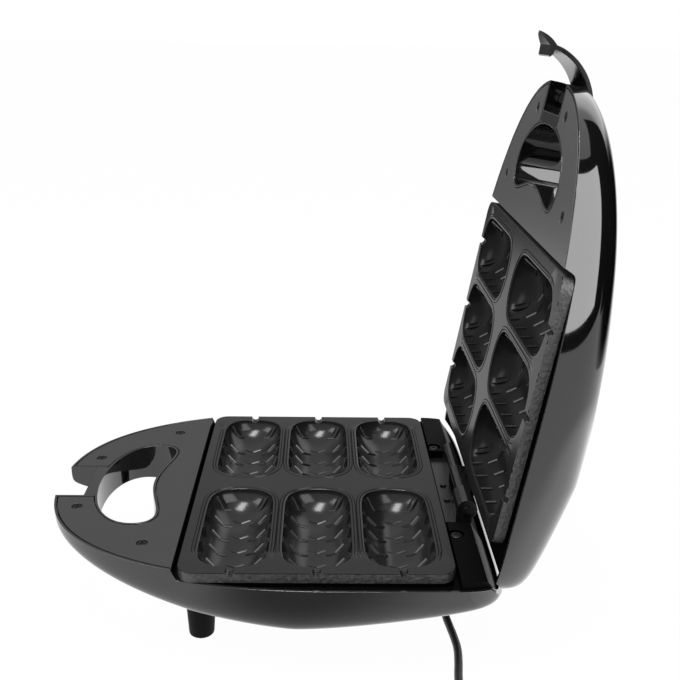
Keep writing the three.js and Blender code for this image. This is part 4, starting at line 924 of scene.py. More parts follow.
def hole_outline(grow: float, steps: int = 20) -> list[Plan]:
    """The grip hole seen from above.

    Args:
        grow: How far it is widened.
        steps: Steps on each of its six curves.

    Returns:
        The closed outline.
    """
    nose, plate, corner = -HOLE_NOSE - grow, -HOLE_PLATE + grow, -HOLE_CORNER + grow
    wide, out = HOLE_HALF + grow, HOLE_CORNER_OUT
    middle, side, turn = (nose + corner) / 2, wide * HOLE_FLAT, wide * HOLE_TURN
    a, b, c, d = (out * pull for pull in HOLE_PULLS)
    upper = [
        [(nose, 0), (nose, a), (middle - side, wide), (middle + side, wide)],
        [(middle + side, wide), (corner - turn, wide), (corner, b), (corner, out)],
        [(corner, out), (corner, c), (plate, d), (plate, 0)],
    ]
    lower = [[(x, -y) for x, y in reversed(curve)] for curve in reversed(upper)]
    return [point for curve in upper + lower for point in bezier(*map(Vector, curve), steps)]


def nose_outline(edge: float, inset: float, steps: int = 160) -> list[Plan]:
    """The outline of the handle.

    Args:
        edge: Where along the housing it ends on both sides.
        inset: How far it is drawn in.
        steps: Steps from one side round the nose to the other.

    Returns:
        The outline.
    """
    start = inset - NOSE_REACH
    points = []
    for i in range(steps + 1):
        angle = math.pi * i / steps
        x = edge - (edge - start) * math.sin(angle)
        y = half_width_at(x, inset) * math.copysign(1.0, math.cos(angle))
        points.append((start, 0.0) if i * 2 == steps else (x, y))
    return points


def rounded_rectangle(length: float, width: float, radius: float, steps: int = 10) -> list[Plan]:
    """Returns the outline of a rectangle with rounded corners about the middle of the plates."""
    points = []
    for sx, sy, begin in ((1, 1, 0.0), (-1, 1, 0.5), (-1, -1, 1.0), (1, -1, 1.5)):
        cx, cy = sx * (length / 2 - radius), sy * (width / 2 - radius)
        for i in range(steps + 1):
            angle = math.pi * (begin + 0.5 * i / steps)
            points.append((cx + radius * math.cos(angle), cy + radius * math.sin(angle)))
    return points


def above_rim() -> bpy.types.Object:
    """Returns everything above the rim, which steps down beside the plate and falls away at the hinge."""
    drop = RIM_DROP + PARTING
    profile = [
        (NOSE_END, PARTING),
        *((COVER_EDGE + RIM_STEP_LENGTH * run, PARTING - drop * down) for run, down in RIM_STEPS),
        (RIM_REAR_START, -RIM_DROP),
        (REAR_REACH, -RIM_REAR_DROP),
        (REAR_REACH + CLEAR, -RIM_REAR_DROP),
        (REAR_REACH + CLEAR, HIGH_TOP),
        (NOSE_END, HIGH_TOP),
    ]
    return slab(profile, -HALF_WIDTH - CLEAR, HALF_WIDTH + CLEAR)


def relief_at(run: float) -> Point:
    """Returns the place at a run along the strain relief's axis."""
    reach = Vector((0.0, -math.cos(RELIEF_SLOPE), -math.sin(RELIEF_SLOPE)))
    return tuple(Vector((RELIEF_X, RELIEF_Y, -BASE.depth_at(RELIEF_X))) + reach * run)


# Pieces that both halves have


@dataclass
class HalfPiece:
    """A piece that both halves have.

    Attributes:
        half: The half's measures.
    """

    half: HalfForm

    def finish(
        self, work: bpy.types.Object, name: str, look: Look, slot: str, node: str, sharp: float = SHARP
    ) -> bpy.types.Object:
        """Puts the piece in place under the half's own names.

        Args:
            work: The object in plan millimetres.
            name: The piece's name after the half's.
            look: Its finish.
            slot: The record's slot that the finish stands for; not used.
            node: The node that it replaces, after the half's name.
            sharp: Angle in degrees above which an edge stays an edge.

        Returns:
            The piece.
        """
        place = self.half.place
        return finish_piece(work, f"{place.value}_{name}", place, look, f"{place.value}_{node}", sharp)


@dataclass
class Housing(HalfPiece):
    """The outer shell of one half."""

    def build(self) -> None:
        """Makes the shell and dresses it."""
        cheek = NOTCH_HALF + WALL
        hollow = cut(
            dish(self.half, WALL, LOW_TOP, COARSE),
            prism(hole_outline(WALL), -FAR, MIDDLE_TOP),
            box(NOSE_END, -HOLE_NOSE, -cheek, cheek, -FAR, MIDDLE_TOP),
        )
        shell = cut(
            dish(self.half, SKIN, MIDDLE_TOP),
            hollow,
            prism(hole_outline(0.0), -FAR, HIGH_TOP),
            box(NOSE_END, -NOTCH_BACK, -NOTCH_HALF, NOTCH_HALF, -FAR, HIGH_TOP),
            self._cover_room(),
            above_rim(),
            *self._openings(),
        )
        self.finish(shell, "housing", Look.SHELL, "shell", "shell")

    def _cover_room(self) -> bpy.types.Object:
        """Returns the room that the handle cover takes, with its seam."""
        bottom, top = COVER_BOTTOM - GAP, HIGH_TOP + 1
        half = NOTCH_HALF + NOTCH_LIP - SEAM
        return cut(
            prism(nose_outline(COVER_EDGE + COVER_ROOM, COVER_INSET - SEAM), bottom, HIGH_TOP),
            prism(hole_outline(HOLE_LIP - SEAM), bottom - CLEAR, top),
            box(NOSE_END, -HOLE_NOSE, -half, half, bottom - CLEAR, top),
        )

    def _openings(self) -> list[bpy.types.Object]:
        """Returns the half's own bores and pockets."""
        if self.half is BASE:
            back = -HOLE_NOSE - POCKET_WALL
            return [
                rod(relief_at(RELIEF_BACK), relief_at(RELIEF_END), RELIEF_BORE),
                box(-NOTCH_BACK - CLEAR, back, -NOTCH_HALF, NOTCH_HALF, -FAR, POCKET_TOP),
            ]
        x, z = LATCH_PIVOT
        pin = rod((x, -PIN_HOLE_HALF, -z), (x, PIN_HOLE_HALF, -z), PIN_RADIUS)
        return [pin, *(post(LENS_X, y, *LENS_BORE_HEIGHTS, LENS_BORE) for y in (-LENS_Y, LENS_Y))]


@dataclass
class HandleCover(HalfPiece):
    """The satin plate set into the handle of one half."""

    def build(self) -> None:
        """Makes the cover and dresses it."""
        slot, under = NOTCH_HALF + NOTCH_LIP, COVER_BOTTOM - CLEAR
        cutters = [
            prism(hole_outline(HOLE_LIP), under, LOW_TOP),
            box(NOSE_END, -HOLE_NOSE + CLEAR, -slot, slot, under, LOW_TOP),
        ]
        for x, y in COVER_SCREWS:
            cutters.append(post(x, y, PARTING - COUNTERBORE, LOW_TOP, COVER_HEAD + HEAD_ROOM))
            cutters.append(post(x, y, under, LOW_TOP, SHANK_HOLE))
        plate = prism(nose_outline(COVER_EDGE, COVER_INSET), COVER_BOTTOM, PARTING)
        slot_name = f"{self.half.place.value}_cover"
        self.finish(cut(plate, *cutters), "cover", self.half.cover, slot_name, "handle_cover")


@dataclass
class InnerFrame(HalfPiece):
    """The black frame round the cooking plate of one half."""

    def build(self) -> None:
        """Makes the frame and dresses it."""
        cutters = [prism(self._plate_outline(FRAME_LAND, FRAME_LAND / 2), FRAME_CUT, LOW_TOP)]
        for x, y in DECK_SCREWS:
            cutters.append(post(x, y, self.half.screw_seat, LOW_TOP, DECK_RECESS))
            cutters.append(post(x, y, FRAME_CUT, LOW_TOP, SHANK_HOLE))
        body = cut(join(self._floor(), *self._raised()), *cutters)
        body = combine(body, [dish(self.half, WALL + GAP, 0.0, COARSE)], "INTERSECT")
        self.finish(body, "inner_frame", Look.INNER, "frame", "frame")

    @staticmethod
    def _plate_outline(inset: float, tighter: float) -> list[Plan]:
        """Returns the plate's outline drawn in, with tighter corners."""
        return rounded_rectangle(PLATE_LENGTH - 2 * inset, PLATE_WIDTH - 2 * inset, PLATE_CORNER - tighter)

    @staticmethod
    def _floor() -> bpy.types.Object:
        """Returns the floor, which rises at the handle and falls at the hinge."""
        front = COVER_EDGE - FRAME_THICK
        profile = [
            (front, COVER_BOTTOM - GAP),
            (COVER_EDGE, COVER_BOTTOM - GAP),
            (COVER_EDGE, -FRAME_DROP),
            (FRAME_REAR_EDGE, -FRAME_DROP),
            (FRAME_REAR_END, -FRAME_REAR_DROP),
            (FRAME_REAR_END, FRAME_REAR_BOTTOM),
            (FRAME_REAR_EDGE, FRAME_BOTTOM),
            (front, FRAME_BOTTOM),
        ]
        return slab(profile, -HALF_WIDTH, HALF_WIDTH)

    def _raised(self) -> list[bpy.types.Object]:
        """Returns the land under the plate and, where the half has them, the decks by the hinge."""
        land = prism(self._plate_outline(GAP, 0.0), FRAME_BOTTOM + 2 * OVERLAP, -PLATE_SKIRT - GAP)
        if self.half.deck_drop >= FRAME_DROP:
            return [land]
        front = PLATE_LENGTH / 2 + CLEAR
        deck = [
            (front, -self.half.deck_drop),
            (FRAME_REAR_EDGE, -self.half.deck_drop),
            (FRAME_REAR_END, -FRAME_REAR_DROP),
            (FRAME_REAR_END, FRAME_REAR_BOTTOM + OVERLAP),
            (FRAME_REAR_EDGE, FRAME_BOTTOM + OVERLAP),
            (front, FRAME_BOTTOM + OVERLAP),
        ]
        return [land, slab(deck, DECK_FAR, HALF_WIDTH), slab(deck, -HALF_WIDTH, -DECK_NEAR)]


# Cooking plates


def cup_width(y: float) -> float:
    """Returns half the width of a cavity at a distance from its middle."""
    share = min(1.0, abs(y) / CUP_HALF_LENGTH)
    return CUP_HALF_WIDTH * max(0.0, 1.0 - share**CUP_END_POWER) ** (1 / CUP_SIDE_POWER)


def cup_depth(x: float, y: float) -> float:
    """Returns the depth of a cavity's wall under a point."""
    share = min(1.0, abs(y) / CUP_HALF_LENGTH)
    keel = CUP_DEPTH * max(0.0, 1.0 - share**KEEL_END_POWER) ** (1 / KEEL_SIDE_POWER)
    width = cup_width(y)
    if width <= 0.0 or abs(x) >= width:
        return 0.0
    return keel * math.sqrt(1.0 - (x / width) ** 2)


def even_points(side: Outline, count: int) -> list[Plan]:
    """Spreads points evenly along a line.

    Args:
        side: The line's own points.
        count: How many points are wanted.

    Returns:
        The points, without the line's last one.
    """
    runs, at, points = [0.0], 0, []
    for a, b in zip(side, side[1:]):
        runs.append(runs[-1] + math.dist(a, b))
    for i in range(count):
        goal = runs[-1] * i / count
        while runs[at + 1] < goal:
            at += 1
        share = (goal - runs[at]) / max(1e-9, runs[at + 1] - runs[at])
        points.append(tuple(p + (q - p) * share for p, q in zip(side[at], side[at + 1])))
    return points


@cache
def cavity_rim() -> list[tuple[Plan, Plan]]:
    """The outline of a cavity, from the middle of its near right corner round to the left.

    Returns:
        The points about the cavity's middle, each with the direction that points away from it.
    """
    turn, fine = CUP_HALF_LENGTH * RIM_TURN, 400
    right = [(cup_width(y), y) for y in (-turn + 2 * turn * i / fine for i in range(fine + 1))]
    angles = [math.pi / 2 * i / fine for i in range(fine + 1)]
    cap = [turn + (CUP_HALF_LENGTH - turn) * math.sin(angle) for angle in angles]
    far = [(cup_width(y), y) for y in cap]
    far += [(-x, y) for x, y in reversed(far[:-1])]
    sides = [right, far, [(-x, -y) for x, y in right], [(-x, -y) for x, y in far]]
    points = [point for side in sides for point in even_points(side, RIM_STEPS_A_SIDE)]
    result = []
    for i, point in enumerate(points):
        before, after = points[i - 1], points[(i + 1) % len(points)]
        along = Vector((after[0] - before[0], after[1] - before[1])).normalized()
        result.append((point, (along.y, -along.x)))
    return result


@dataclass
class CookingPlate(HalfPiece):
    """The cast plate of one half with its six cavities."""

    def build(self) -> None:
        """Makes the plate, its skirt, its cavities and their ribs, and dresses them."""
        mesh = bmesh.new()
        for at in CUP_PLACES:
            self._cell(mesh, *at)
        bmesh.ops.remove_doubles(mesh, verts=mesh.verts[:], dist=MERGE)
        self._skirt(mesh)
        plate = temporary(mesh)
        thick = plate.modifiers.new("wall", "SOLIDIFY")
        thick.thickness = PLATE_WALL
        thick.offset = -1.0
        settle(plate)
        joined = bmesh.new()
        absorb(joined, cut(plate, *self._stick_slots()))
        for at in CUP_PLACES:
            self._ribs(joined, *at)
        work = temporary(joined, turn=False)
        self._dress_skirt(self.finish(work, "cooking_plate", self.half.coating, "plate", "plate", PLATE_SHARP))

    @staticmethod
    def _cell(mesh: bmesh.types.BMesh, cx: float, cy: float) -> None:
        """Adds one cavity and the flat of the plate round it.

        Args:
            mesh: The plate's mesh.
            cx: The cavity's middle along the plate.
            cy: The cavity's middle across the plate.
        """
        x0 = -PLATE_LENGTH / 2 if cx < -1 else cx - CUP_PITCH / 2
        x1 = PLATE_LENGTH / 2 if cx > 1 else cx + CUP_PITCH / 2
        y0, y1 = (-PLATE_WIDTH / 2, 0.0) if cy < 0 else (0.0, PLATE_WIDTH / 2)
        corners = ((x1, y0), (x1, y1), (x0, y1), (x0, y0))
        rim, count, (low, high) = cavity_rim(), 4 * RIM_STEPS_A_SIDE, BEAD_FADE
        rings = [(i / CAVITY_RINGS) ** RING_POWER for i in range(1, CAVITY_RINGS + 1)]
        levels = [*BEAD, *((-1.0, math.cos(math.pi / 2 * ring)) for ring in rings)]
        cell = bmesh.new()
        bmesh.ops.create_grid(cell, x_segments=count, y_segments=len(levels), size=1.0)
        for vertex in cell.verts:
            step = round((vertex.co.x + 1) / 2 * count) % count
            row = round((vertex.co.y + 1) / 2 * len(levels))
            (x, y), (nx, ny) = rim[step]
            if row == 0:
                side, share = divmod(step, RIM_STEPS_A_SIDE)
                start, end = (Vector(corners[corner % 4]) for corner in (side, side + 1))
                vertex.co = start.lerp(end, share / RIM_STEPS_A_SIDE).to_3d()
                vertex.co.z = PARTING
                continue
            out, value = levels[row - 1]
            if out >= 0.0:
                run = high - math.copysign(1.0, cy) * y
                fade = min(1.0, max(0.0, run / (high - low))) if out > 1.0 else 1.0
                vertex.co = (cx + x + nx * out, cy + y + ny * out, PARTING + value * fade)
            else:
                px, py = x * value, y * value
                vertex.co = (cx + px, cy + py, PARTING - cup_depth(px, py))
        bmesh.ops.remove_doubles(cell, verts=cell.verts[:], dist=MERGE)
        absorb(mesh, temporary(cell, turn=False))

    @staticmethod
    def _skirt(mesh: bmesh.types.BMesh) -> None:
        """Rounds the plate's corners and lets its edge down."""
        flat_x, flat_y = PLATE_LENGTH / 2 - PLATE_CORNER, PLATE_WIDTH / 2 - PLATE_CORNER
        for vertex in mesh.verts:
            dx, dy = abs(vertex.co.x) - flat_x, abs(vertex.co.y) - flat_y
            if dx > 0 and dy > 0 and abs(vertex.co.z - PARTING) < 1e-6:
                reach = max(dx, dy) / math.hypot(dx, dy)
                vertex.co.x = math.copysign(flat_x + dx * reach, vertex.co.x)
                vertex.co.y = math.copysign(flat_y + dy * reach, vertex.co.y)
        for down in SKIRT_RINGS:
            for corner in new_corners(bmesh.ops.extrude_edge_only(mesh, edges=open_edges(mesh))):
                corner.co.z = -down

    @staticmethod
    def _stick_slots() -> list[bpy.types.Object]:
        """Returns the cutters of the slots for the sticks in both long edges."""
        start = CUP_ROWS[1] + CUP_HALF_LENGTH - STICK_REACH
        end = PLATE_WIDTH / 2 + STICK_OUT
        cutters = []
        for x in CUP_COLUMNS:
            for side in (-1, 1):
                low, high = sorted((side * start, side * end))
                cutters.append(rod((x, side * start, PARTING), (x, side * end, PARTING), STICK_RADIUS))
                cutters.append(box(x - STICK_RADIUS, x + STICK_RADIUS, low, high, PARTING, STICK_TOP))
        return cutters

    @staticmethod
    def _ribs(mesh: bmesh.types.BMesh, cx: float, cy: float) -> None:
        """Adds the raised ribs on a cavity's wall.

        Args:
            mesh: The plate's mesh.
            cx: The cavity's middle along the plate.
            cy: The cavity's middle across the plate.
        """
        at = (cx, cy)
        for row in NEAR_ROWS if cy < 0 else FAR_ROWS:
            for (x0, y0), (x1, y1), radius, slot in ROW_RIBS:
                add_rib(mesh, at, [(x0, row + y0), (x1, row + y1)], radius, slot)
        for tooth in RIM_TEETH:
            width = cup_width(tooth)
            for side in (-1, 1):
                root = (side * (width - TOOTH_RUN[0]), tooth - TOOTH_RUN[1])
                add_rib(mesh, at, [root, (side * (width - TOOTH_SHY), tooth)], TOOTH_RADIUS, 0)
        # Only the end ribs on the left side get the painted highlight; those on the right keep the plain coating.
        for side in (-1, 1):
            for (x0, y0), (x1, y1), radius, slot in END_RIBS:
                add_rib(mesh, at, [(side * x0, y0), (side * x1, y1)], radius, slot if side < 0 else 0)

    def _dress_skirt(self, piece: bpy.types.Object) -> None:
        """Gives the plate's edge its rough cast finish, and adds the ribs' painted-highlight finish."""
        for look in (Look.CAST, Look.RIB_HIGHLIGHT):
            piece.data.materials.append(look.material())
        matrix = self.half.place.move().inverted()
        turn = matrix.to_3x3().inverted().transposed()
        for face in piece.data.polygons:
            centre, normal = matrix @ face.center, (turn @ face.normal).normalized()
            near_x = abs(centre.x) > PLATE_LENGTH / 2 - EDGE_BAND
            near_y = abs(centre.y) > PLATE_WIDTH / 2 - EDGE_BAND
            upright = abs(normal.z) < UPRIGHT and centre.z < EDGE_TOP
            if face.material_index == 0 and (near_x or near_y) and upright:
                face.material_index = CAST_SLOT


def add_rib(mesh: bmesh.types.BMesh, at: Plan, path: Outline, radius: float, slot: int) -> None:
    """Adds one rib that lies on a cavity's wall.

    Args:
        mesh: The plate's mesh.
        at: The cavity's middle, along and across the plate.
        path: The rib's points from there.
        radius: Its radius.
        slot: The place of its finish among the plate's.
    """
    points = [(at[0] + x, at[1] + y, PARTING - cup_depth(x, y) - radius * RIB_SINK) for x, y in path]
    holder = tube("rib", points, radius, 1, "VECTOR")
    made, curve = evaluated(holder), holder.data
    for face in made.polygons:
        face.material_index = slot
    mesh.from_mesh(made)
    bpy.data.meshes.remove(made)
    bpy.data.objects.remove(holder)
    bpy.data.curves.remove(curve)


# Latch


@dataclass
class Latch:
    """The hooked latch on the nose of the lid."""

    def build(self) -> None:
        """Makes the latch and dresses it."""
        x, z = LATCH_PIVOT
        end = LATCH_HALF + CLEAR
        arm = combine(slab(self._side(), -LATCH_HALF, LATCH_HALF), [self._front()], "INTERSECT")
        body = join(arm, rod((x, -LATCH_HALF, z), (x, LATCH_HALF, z), LATCH_BARREL))
        body = cut(body, rod((x, -end, z), (x, end, z), PIN_RADIUS))
        finish_piece(body, "latch_arm", Place.LATCH, Look.LATCH, "latch")

    @staticmethod
    def _arc(radius: float, start: float, end: float, steps: int = 28) -> list[Plan]:
        """Returns points on one side of the latch's arc, from one angle to another."""
        angles = [start + (end - start) * i / steps for i in range(steps + 1)]
        return [(LATCH_ARC[0] + radius * math.cos(a), LATCH_ARC[1] + radius * math.sin(a)) for a in angles]

    def _side(self) -> list[Plan]:
        """Returns the latch seen from the side: an arc, a hook that points back and a tab for the finger."""
        start, end = LATCH_ANGLES
        outer, inner = self._arc(LATCH_RADIUS, start, end), self._arc(LATCH_RADIUS - LATCH_THICK, end, start)
        out, (x, z) = Vector(outer[-1]), inner[0]
        bend = out - Vector((TONGUE_RUN * TONGUE_BEND[0], TONGUE_DROP * TONGUE_BEND[1]))
        tip = out - Vector((TONGUE_RUN, TONGUE_DROP))
        tongue = [out * (1 - t) ** 2 + bend * 2 * t * (1 - t) + tip * t * t for t in (i / 8 for i in range(1, 9))]
        hook = [(x + HOOK_RUN * along, z - HOOK_DROP * down) for along, down in HOOK_SHARES]
        root = [(tip.x + TONGUE_EDGE, tip.y), (x - HOOK_ROOT, z - HOOK_DROP)]
        return outer + [tuple(point) for point in tongue] + root + hook + inner[1:]

    @staticmethod
    def _front() -> bpy.types.Object:
        """Returns the block that gives the latch its rounded tongue seen from the front."""
        root = LATCH_ARC[1] + LATCH_RADIUS * math.sin(LATCH_ANGLES[1])
        half, steps = LATCH_HALF + GAP, 24
        side = [(half, FRONT_TOP), (half, root + FRONT_SHOULDER)]
        for i in range(steps + 1):
            share = round_off(1 - i / steps, 2)
            side.append((TONGUE_WIDE * (1 - share) ** TONGUE_FULL, root - TONGUE_DROP * share))
        side.sort(key=lambda place: -place[1])
        points = side + [(-y, z) for y, z in reversed(side) if y > 1e-6]
        block = prism(points, -FRONT_REACH, FRONT_REACH)
        turn = Matrix(((0, 0, 1, 0), (1, 0, 0, 0), (0, 1, 0, 0), (0, 0, 0, 1)))
        block.data.transform(Matrix.Translation((FRONT_AT, 0.0, 0.0)) @ turn)
        return block


# Small pieces


@dataclass(frozen=True)
class Screw:
    """A cross-headed screw.

    Attributes:
        node: The frame's node that it replaces.
        at: Its place in x and y.
        seat: Height that its head rests on.
        head: Diameter of its head.
        length: Length of its shank.
    """

    node: str
    at: Plan
    seat: float
    head: float
    length: float

    def build(self, place: Place) -> None:
        """Makes the screw and dresses it.

        Args:
            place: The drawing frame.
        """
        x, y = self.at
        foot = self.seat + GAP
        mesh = bmesh.new()
        bmesh.ops.create_circle(mesh, cap_ends=True, segments=32, radius=self.head / 2)
        thicken(mesh, HEAD_RISE)
        round_end(mesh, (0.0, 0.0, 1.0), HEAD_RISE / 2, HEAD_RISE * HEAD_ROUND, 3)
        bmesh.ops.translate(mesh, verts=mesh.verts[:], vec=(x, y, foot))
        reach, half = self.head * CROSS_SHARE, CROSS_HALF
        floor = foot + HEAD_RISE * (1 - HEAD_ROUND)
        cross = [
            box(x - reach, x + reach, y - half, y + half, floor, floor + CROSS_TOP),
            box(x - half, x + half, y - reach, y + reach, floor, floor + CROSS_TOP),
        ]
        shank = post(x, y, self.seat - self.length, foot + GAP, SHANK_WIDE)
        screw = join(cut(temporary(mesh), *cross), shank)
        finish_piece(screw, f"{self.node}_head", place, Look.DARK_STEEL, self.node)


@dataclass(frozen=True)
class Foot:
    """A rubber foot.

    Attributes:
        node: The frame's node that it replaces.
        at: Its place in x and y.
    """

    node: str
    at: Plan

    def build(self) -> None:
        """Makes the foot and dresses it."""
        x, y = self.at
        top = FOOT_SEAT - min(BASE.depth_at(x - FOOT_TOP), BASE.depth_at(x + FOOT_TOP))
        middle = Matrix.Translation((x, y, (top + FOOT_TABLE) / 2))
        mesh = cone(FOOT_TIP, FOOT_TOP, top - FOOT_TABLE, middle, 48)
        round_end(mesh, (0.0, 0.0, -1.0), -FOOT_TABLE - 1, FOOT_ROUND, 3)
        foot = cut(temporary(mesh), dish(BASE, UNDER_SKIN, LOW_TOP, ROUGH))
        finish_piece(foot, f"{self.node}_rubber", Place.BASE, Look.RUBBER, self.node)


@dataclass(frozen=True)
class Lens:
    """An indicator lens on the outside of the lid.

    Attributes:
        node: The frame's node that it replaces.
        y: Its place across the lid.
        look: Its finish.
        slot: The record's slot that the finish stands for; not used.
    """

    node: str
    y: float
    look: Look
    slot: str

    def build(self) -> None:
        """Makes the lens and dresses it."""
        surface = -LID.depth_at(LENS_X)
        middle = Matrix.Translation((LENS_X, self.y, surface + (LENS_SUNK - LENS_PROUD) / 2))
        mesh = cone(LENS_RADIUS, LENS_RADIUS, LENS_PROUD + LENS_SUNK, middle)
        round_end(mesh, (0.0, 0.0, -1.0), 0.5 - surface, LENS_ROUND, 4)
        head = cut(temporary(mesh), dish(LID, UNDER_SKIN, LOW_TOP, ROUGH))
        stem = post(LENS_X, self.y, surface - LENS_PROUD + GAP, surface + LENS_LENGTH, LENS_STEM)
        finish_piece(join(head, stem), f"{self.node}_dome", Place.LID, self.look, self.node)


@dataclass
class CordSet:
    """The mains cord with its strain relief and plug."""

    def build(self) -> None:
        """Makes the cord and the pieces on it."""
        points = self._points()
        shift = Place.BASE.move().translation
        laid = [(x * MILLIMETRE + shift.x, y * MILLIMETRE + shift.y, z * MILLIMETRE) for x, y, z in points]
        cord = tube("mains_cord", laid, CORD_DIAMETER / 2 * MILLIMETRE, 4, "AUTO")
        cord.data.materials.append(Look.SHEATH.material())
        log.info("mains_cord on base: %d points, %s", len(points), Look.SHEATH.value.name)
        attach(cord, "base")
        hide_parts("cord", "cord_coil", "cord_tail")
        plug = [self._plug(points[-1]), self._pin(1), self._pin(2)]
        for piece in (cord, *plug):
            piece.visible_glossy = False
        self._relief()

    @staticmethod
    def _points() -> list[Point]:
        """Returns the cord's whole route: free, coiled and on to the plug."""
        points = list(CORD_ROUTE)
        steps = round(COIL_TURNS * COIL_STEPS)
        for i in range(steps + 1):
            turn = COIL_TURNS * i / steps
            radius = COIL_RADIUS + COIL_PITCH * abs(turn - COIL_TIGHT_AT)
            angle = -2 * math.pi * turn
            climb = min(1.0, max(0.0, (turn - CLIMB_START) / CLIMB_TURNS))
            height = CORD_LOW + COIL_PITCH * climb * climb * (3 - 2 * climb)
            x, y = COIL_MIDDLE[0] + radius * math.cos(angle), COIL_MIDDLE[1] + radius * math.sin(angle)
            points.append((x, y, height))
        x, y, z = points[-1]
        for share in TAIL_SHARES:
            sag = TAIL_SAG * math.sin(math.pi * share) ** 2
            points.append((x - CORD_DIAMETER - TAIL_LENGTH * share, y, z + (PLUG_RISE - z) * share - sag))
        return points

    @staticmethod
    def _relief() -> None:
        """Makes the ribbed strain relief."""
        at = relief_at
        slope = (RELIEF_WIDE - RELIEF_NARROW) / (RELIEF_END - RELIEF_BACK)
        rings = []
        for i in range(GROOVES):
            run = GROOVE_FIRST + GROOVE_PITCH * i
            radius = RELIEF_WIDE - slope * (run - RELIEF_BACK)
            core = rod(at(run - 1), at(run + 2 * GROOVE_WIDE), radius - GROOVE_DEEP)
            rings.append(cut(rod(at(run), at(run + GROOVE_WIDE), radius + CLEAR), core))
        taper = cut(rod(at(RELIEF_BACK), at(RELIEF_END), RELIEF_WIDE, RELIEF_NARROW), *rings)
        taper = cut(taper, dish(BASE, UNDER_SKIN, LOW_TOP, ROUGH))
        relief = join(taper, rod(at(RELIEF_BACK), at(GROOVE_FIRST), RELIEF_NECK))
        relief = cut(relief, rod(at(CORD_SEAT_AT), at(RELIEF_END + CLEAR), CORD_SEAT))
        finish_piece(relief, "strain_relief_boot", Place.BASE, Look.RUBBER, "strain_relief")

    @staticmethod
    def _plug(end: Point) -> bpy.types.Object:
        """Makes the plug's body.

        Args:
            end: The cord's last point.

        Returns:
            The piece.
        """
        last = len(PLUG_PROFILE) - 1
        mesh = bmesh.new()
        bmesh.ops.create_grid(mesh, x_segments=48, y_segments=last, size=1.0)
        middle = PLUG_RISE - Place.BASE.move().translation.z / MILLIMETRE
        for vertex in mesh.verts:
            along, wide, high = PLUG_PROFILE[round((vertex.co.y + 1) / 2 * last)]
            run = PLUG_NECK * min(1.0, along) + PLUG_BODY * max(0.0, along - 1.0)
            angle = math.pi * (vertex.co.x + 1)
            y = PLUG_HALF * wide * signed_power(math.cos(angle), PLUG_SQUARE)
            z = PLUG_RISE * high * signed_power(math.sin(angle), PLUG_SQUARE)
            vertex.co = (end[0] - PLUG_SEAT - run, end[1] + y, middle + z)
        bmesh.ops.remove_doubles(mesh, verts=mesh.verts[:], dist=MERGE)
        bmesh.ops.holes_fill(mesh, edges=open_edges(mesh), sides=0)
        return finish_piece(temporary(mesh), "plug_body", Place.BASE, Look.SHEATH, "plug")

    @staticmethod
    def _pin(number: int) -> bpy.types.Object:
        """Makes one of the plug's pins where the frame has it.

        Args:
            number: Its number.

        Returns:
            The piece.
        """
        node = f"plug_pin_{number}"
        low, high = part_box(node)
        length, width = (high.x - low.x) / MILLIMETRE, (high.y - low.y) / MILLIMETRE
        mesh = cone(width / 2, width / 2, length, Matrix.Rotation(math.pi / 2, 4, "Y"), 32)
        round_end(mesh, (-1.0, 0.0, 0.0), 0.0, width / 2 * PIN_ROUND, 4)
        middle = Place.BASE.move().inverted() @ ((low + high) / 2)
        bmesh.ops.translate(mesh, verts=mesh.verts[:], vec=middle)
        return finish_piece(temporary(mesh), f"{node}_round", Place.BASE, Look.NICKEL, node)


def dress_nodes() -> None:
    """Gives every node of the frame a finish, also those that a piece replaces."""
    for name, node in frame["nodes"].items():
        look = next((value for key, value in NODE_LOOKS.items() if key in name), Look.INNER)
        for slot in node.material_slots:
            slot.material = look.material()
        if not node.material_slots:
            log.info("node %s has no slot", name)


# Camera, light and ground


@dataclass(frozen=True)
class Viewpoint:
    """The camera at the photograph's place.

    Attributes:
        location: Its place in metres.
        pitch: How far it looks down, in radians.
        yaw: How far it looks to the right.
        roll: How far it is turned about its own axis.
        lens: Focal length for a 36 mm sensor.
    """

    location: Point = (0.001947, -0.5509, 0.3433)
    pitch: float = 0.3185
    yaw: float = 0.0228
    roll: float = -0.0171
    lens: float = 50.25

    def build(self) -> None:
        """Makes the camera and looks through it."""
        level = Vector((math.cos(self.yaw), -math.sin(self.yaw), 0.0))
        ahead = Vector((math.sin(self.yaw), math.cos(self.yaw), 0.0))
        forward = ahead * math.cos(self.pitch) - Vector((0.0, 0.0, math.sin(self.pitch)))
        plumb = forward.cross(level)
        right = math.cos(self.roll) * level + math.sin(self.roll) * plumb
        down = -math.sin(self.roll) * level + math.cos(self.roll) * plumb
        data = bpy.data.cameras.new("view")
        data.lens = self.lens
        data.sensor_width = 36.0
        data.clip_start = 0.01
        camera = linked(data)
        turn = Matrix((right, -down, -forward)).transposed().to_4x4()
        camera.matrix_world = Matrix.Translation(self.location) @ turn
        bpy.context.scene.camera = camera


@dataclass(frozen=True)
class SoftLight:
    """A large soft light.

    Attributes:
        name: Its name.
        location: Its place.
        size: Its width and height in metres.
        power: Its power in watts.
        mirrored: Whether glossy surfaces show it.
    """

    name: str
    location: Point
    size: tuple[float, float]
    power: float
    mirrored: bool = True

    def build(self) -> None:
        """Makes the light and turns it towards the object."""
        data = bpy.data.lights.new(self.name, "AREA")
        data.energy = self.power
        data.shape = "RECTANGLE"
        data.size, data.size_y = self.size
        light = linked(data)
        turn = (LIGHT_AIM - Vector(self.location)).to_track_quat("-Z", "Y").to_matrix().to_4x4()
        light.matrix_world = Matrix.Translation(self.location) @ turn
        light.visible_glossy = self.mirrored


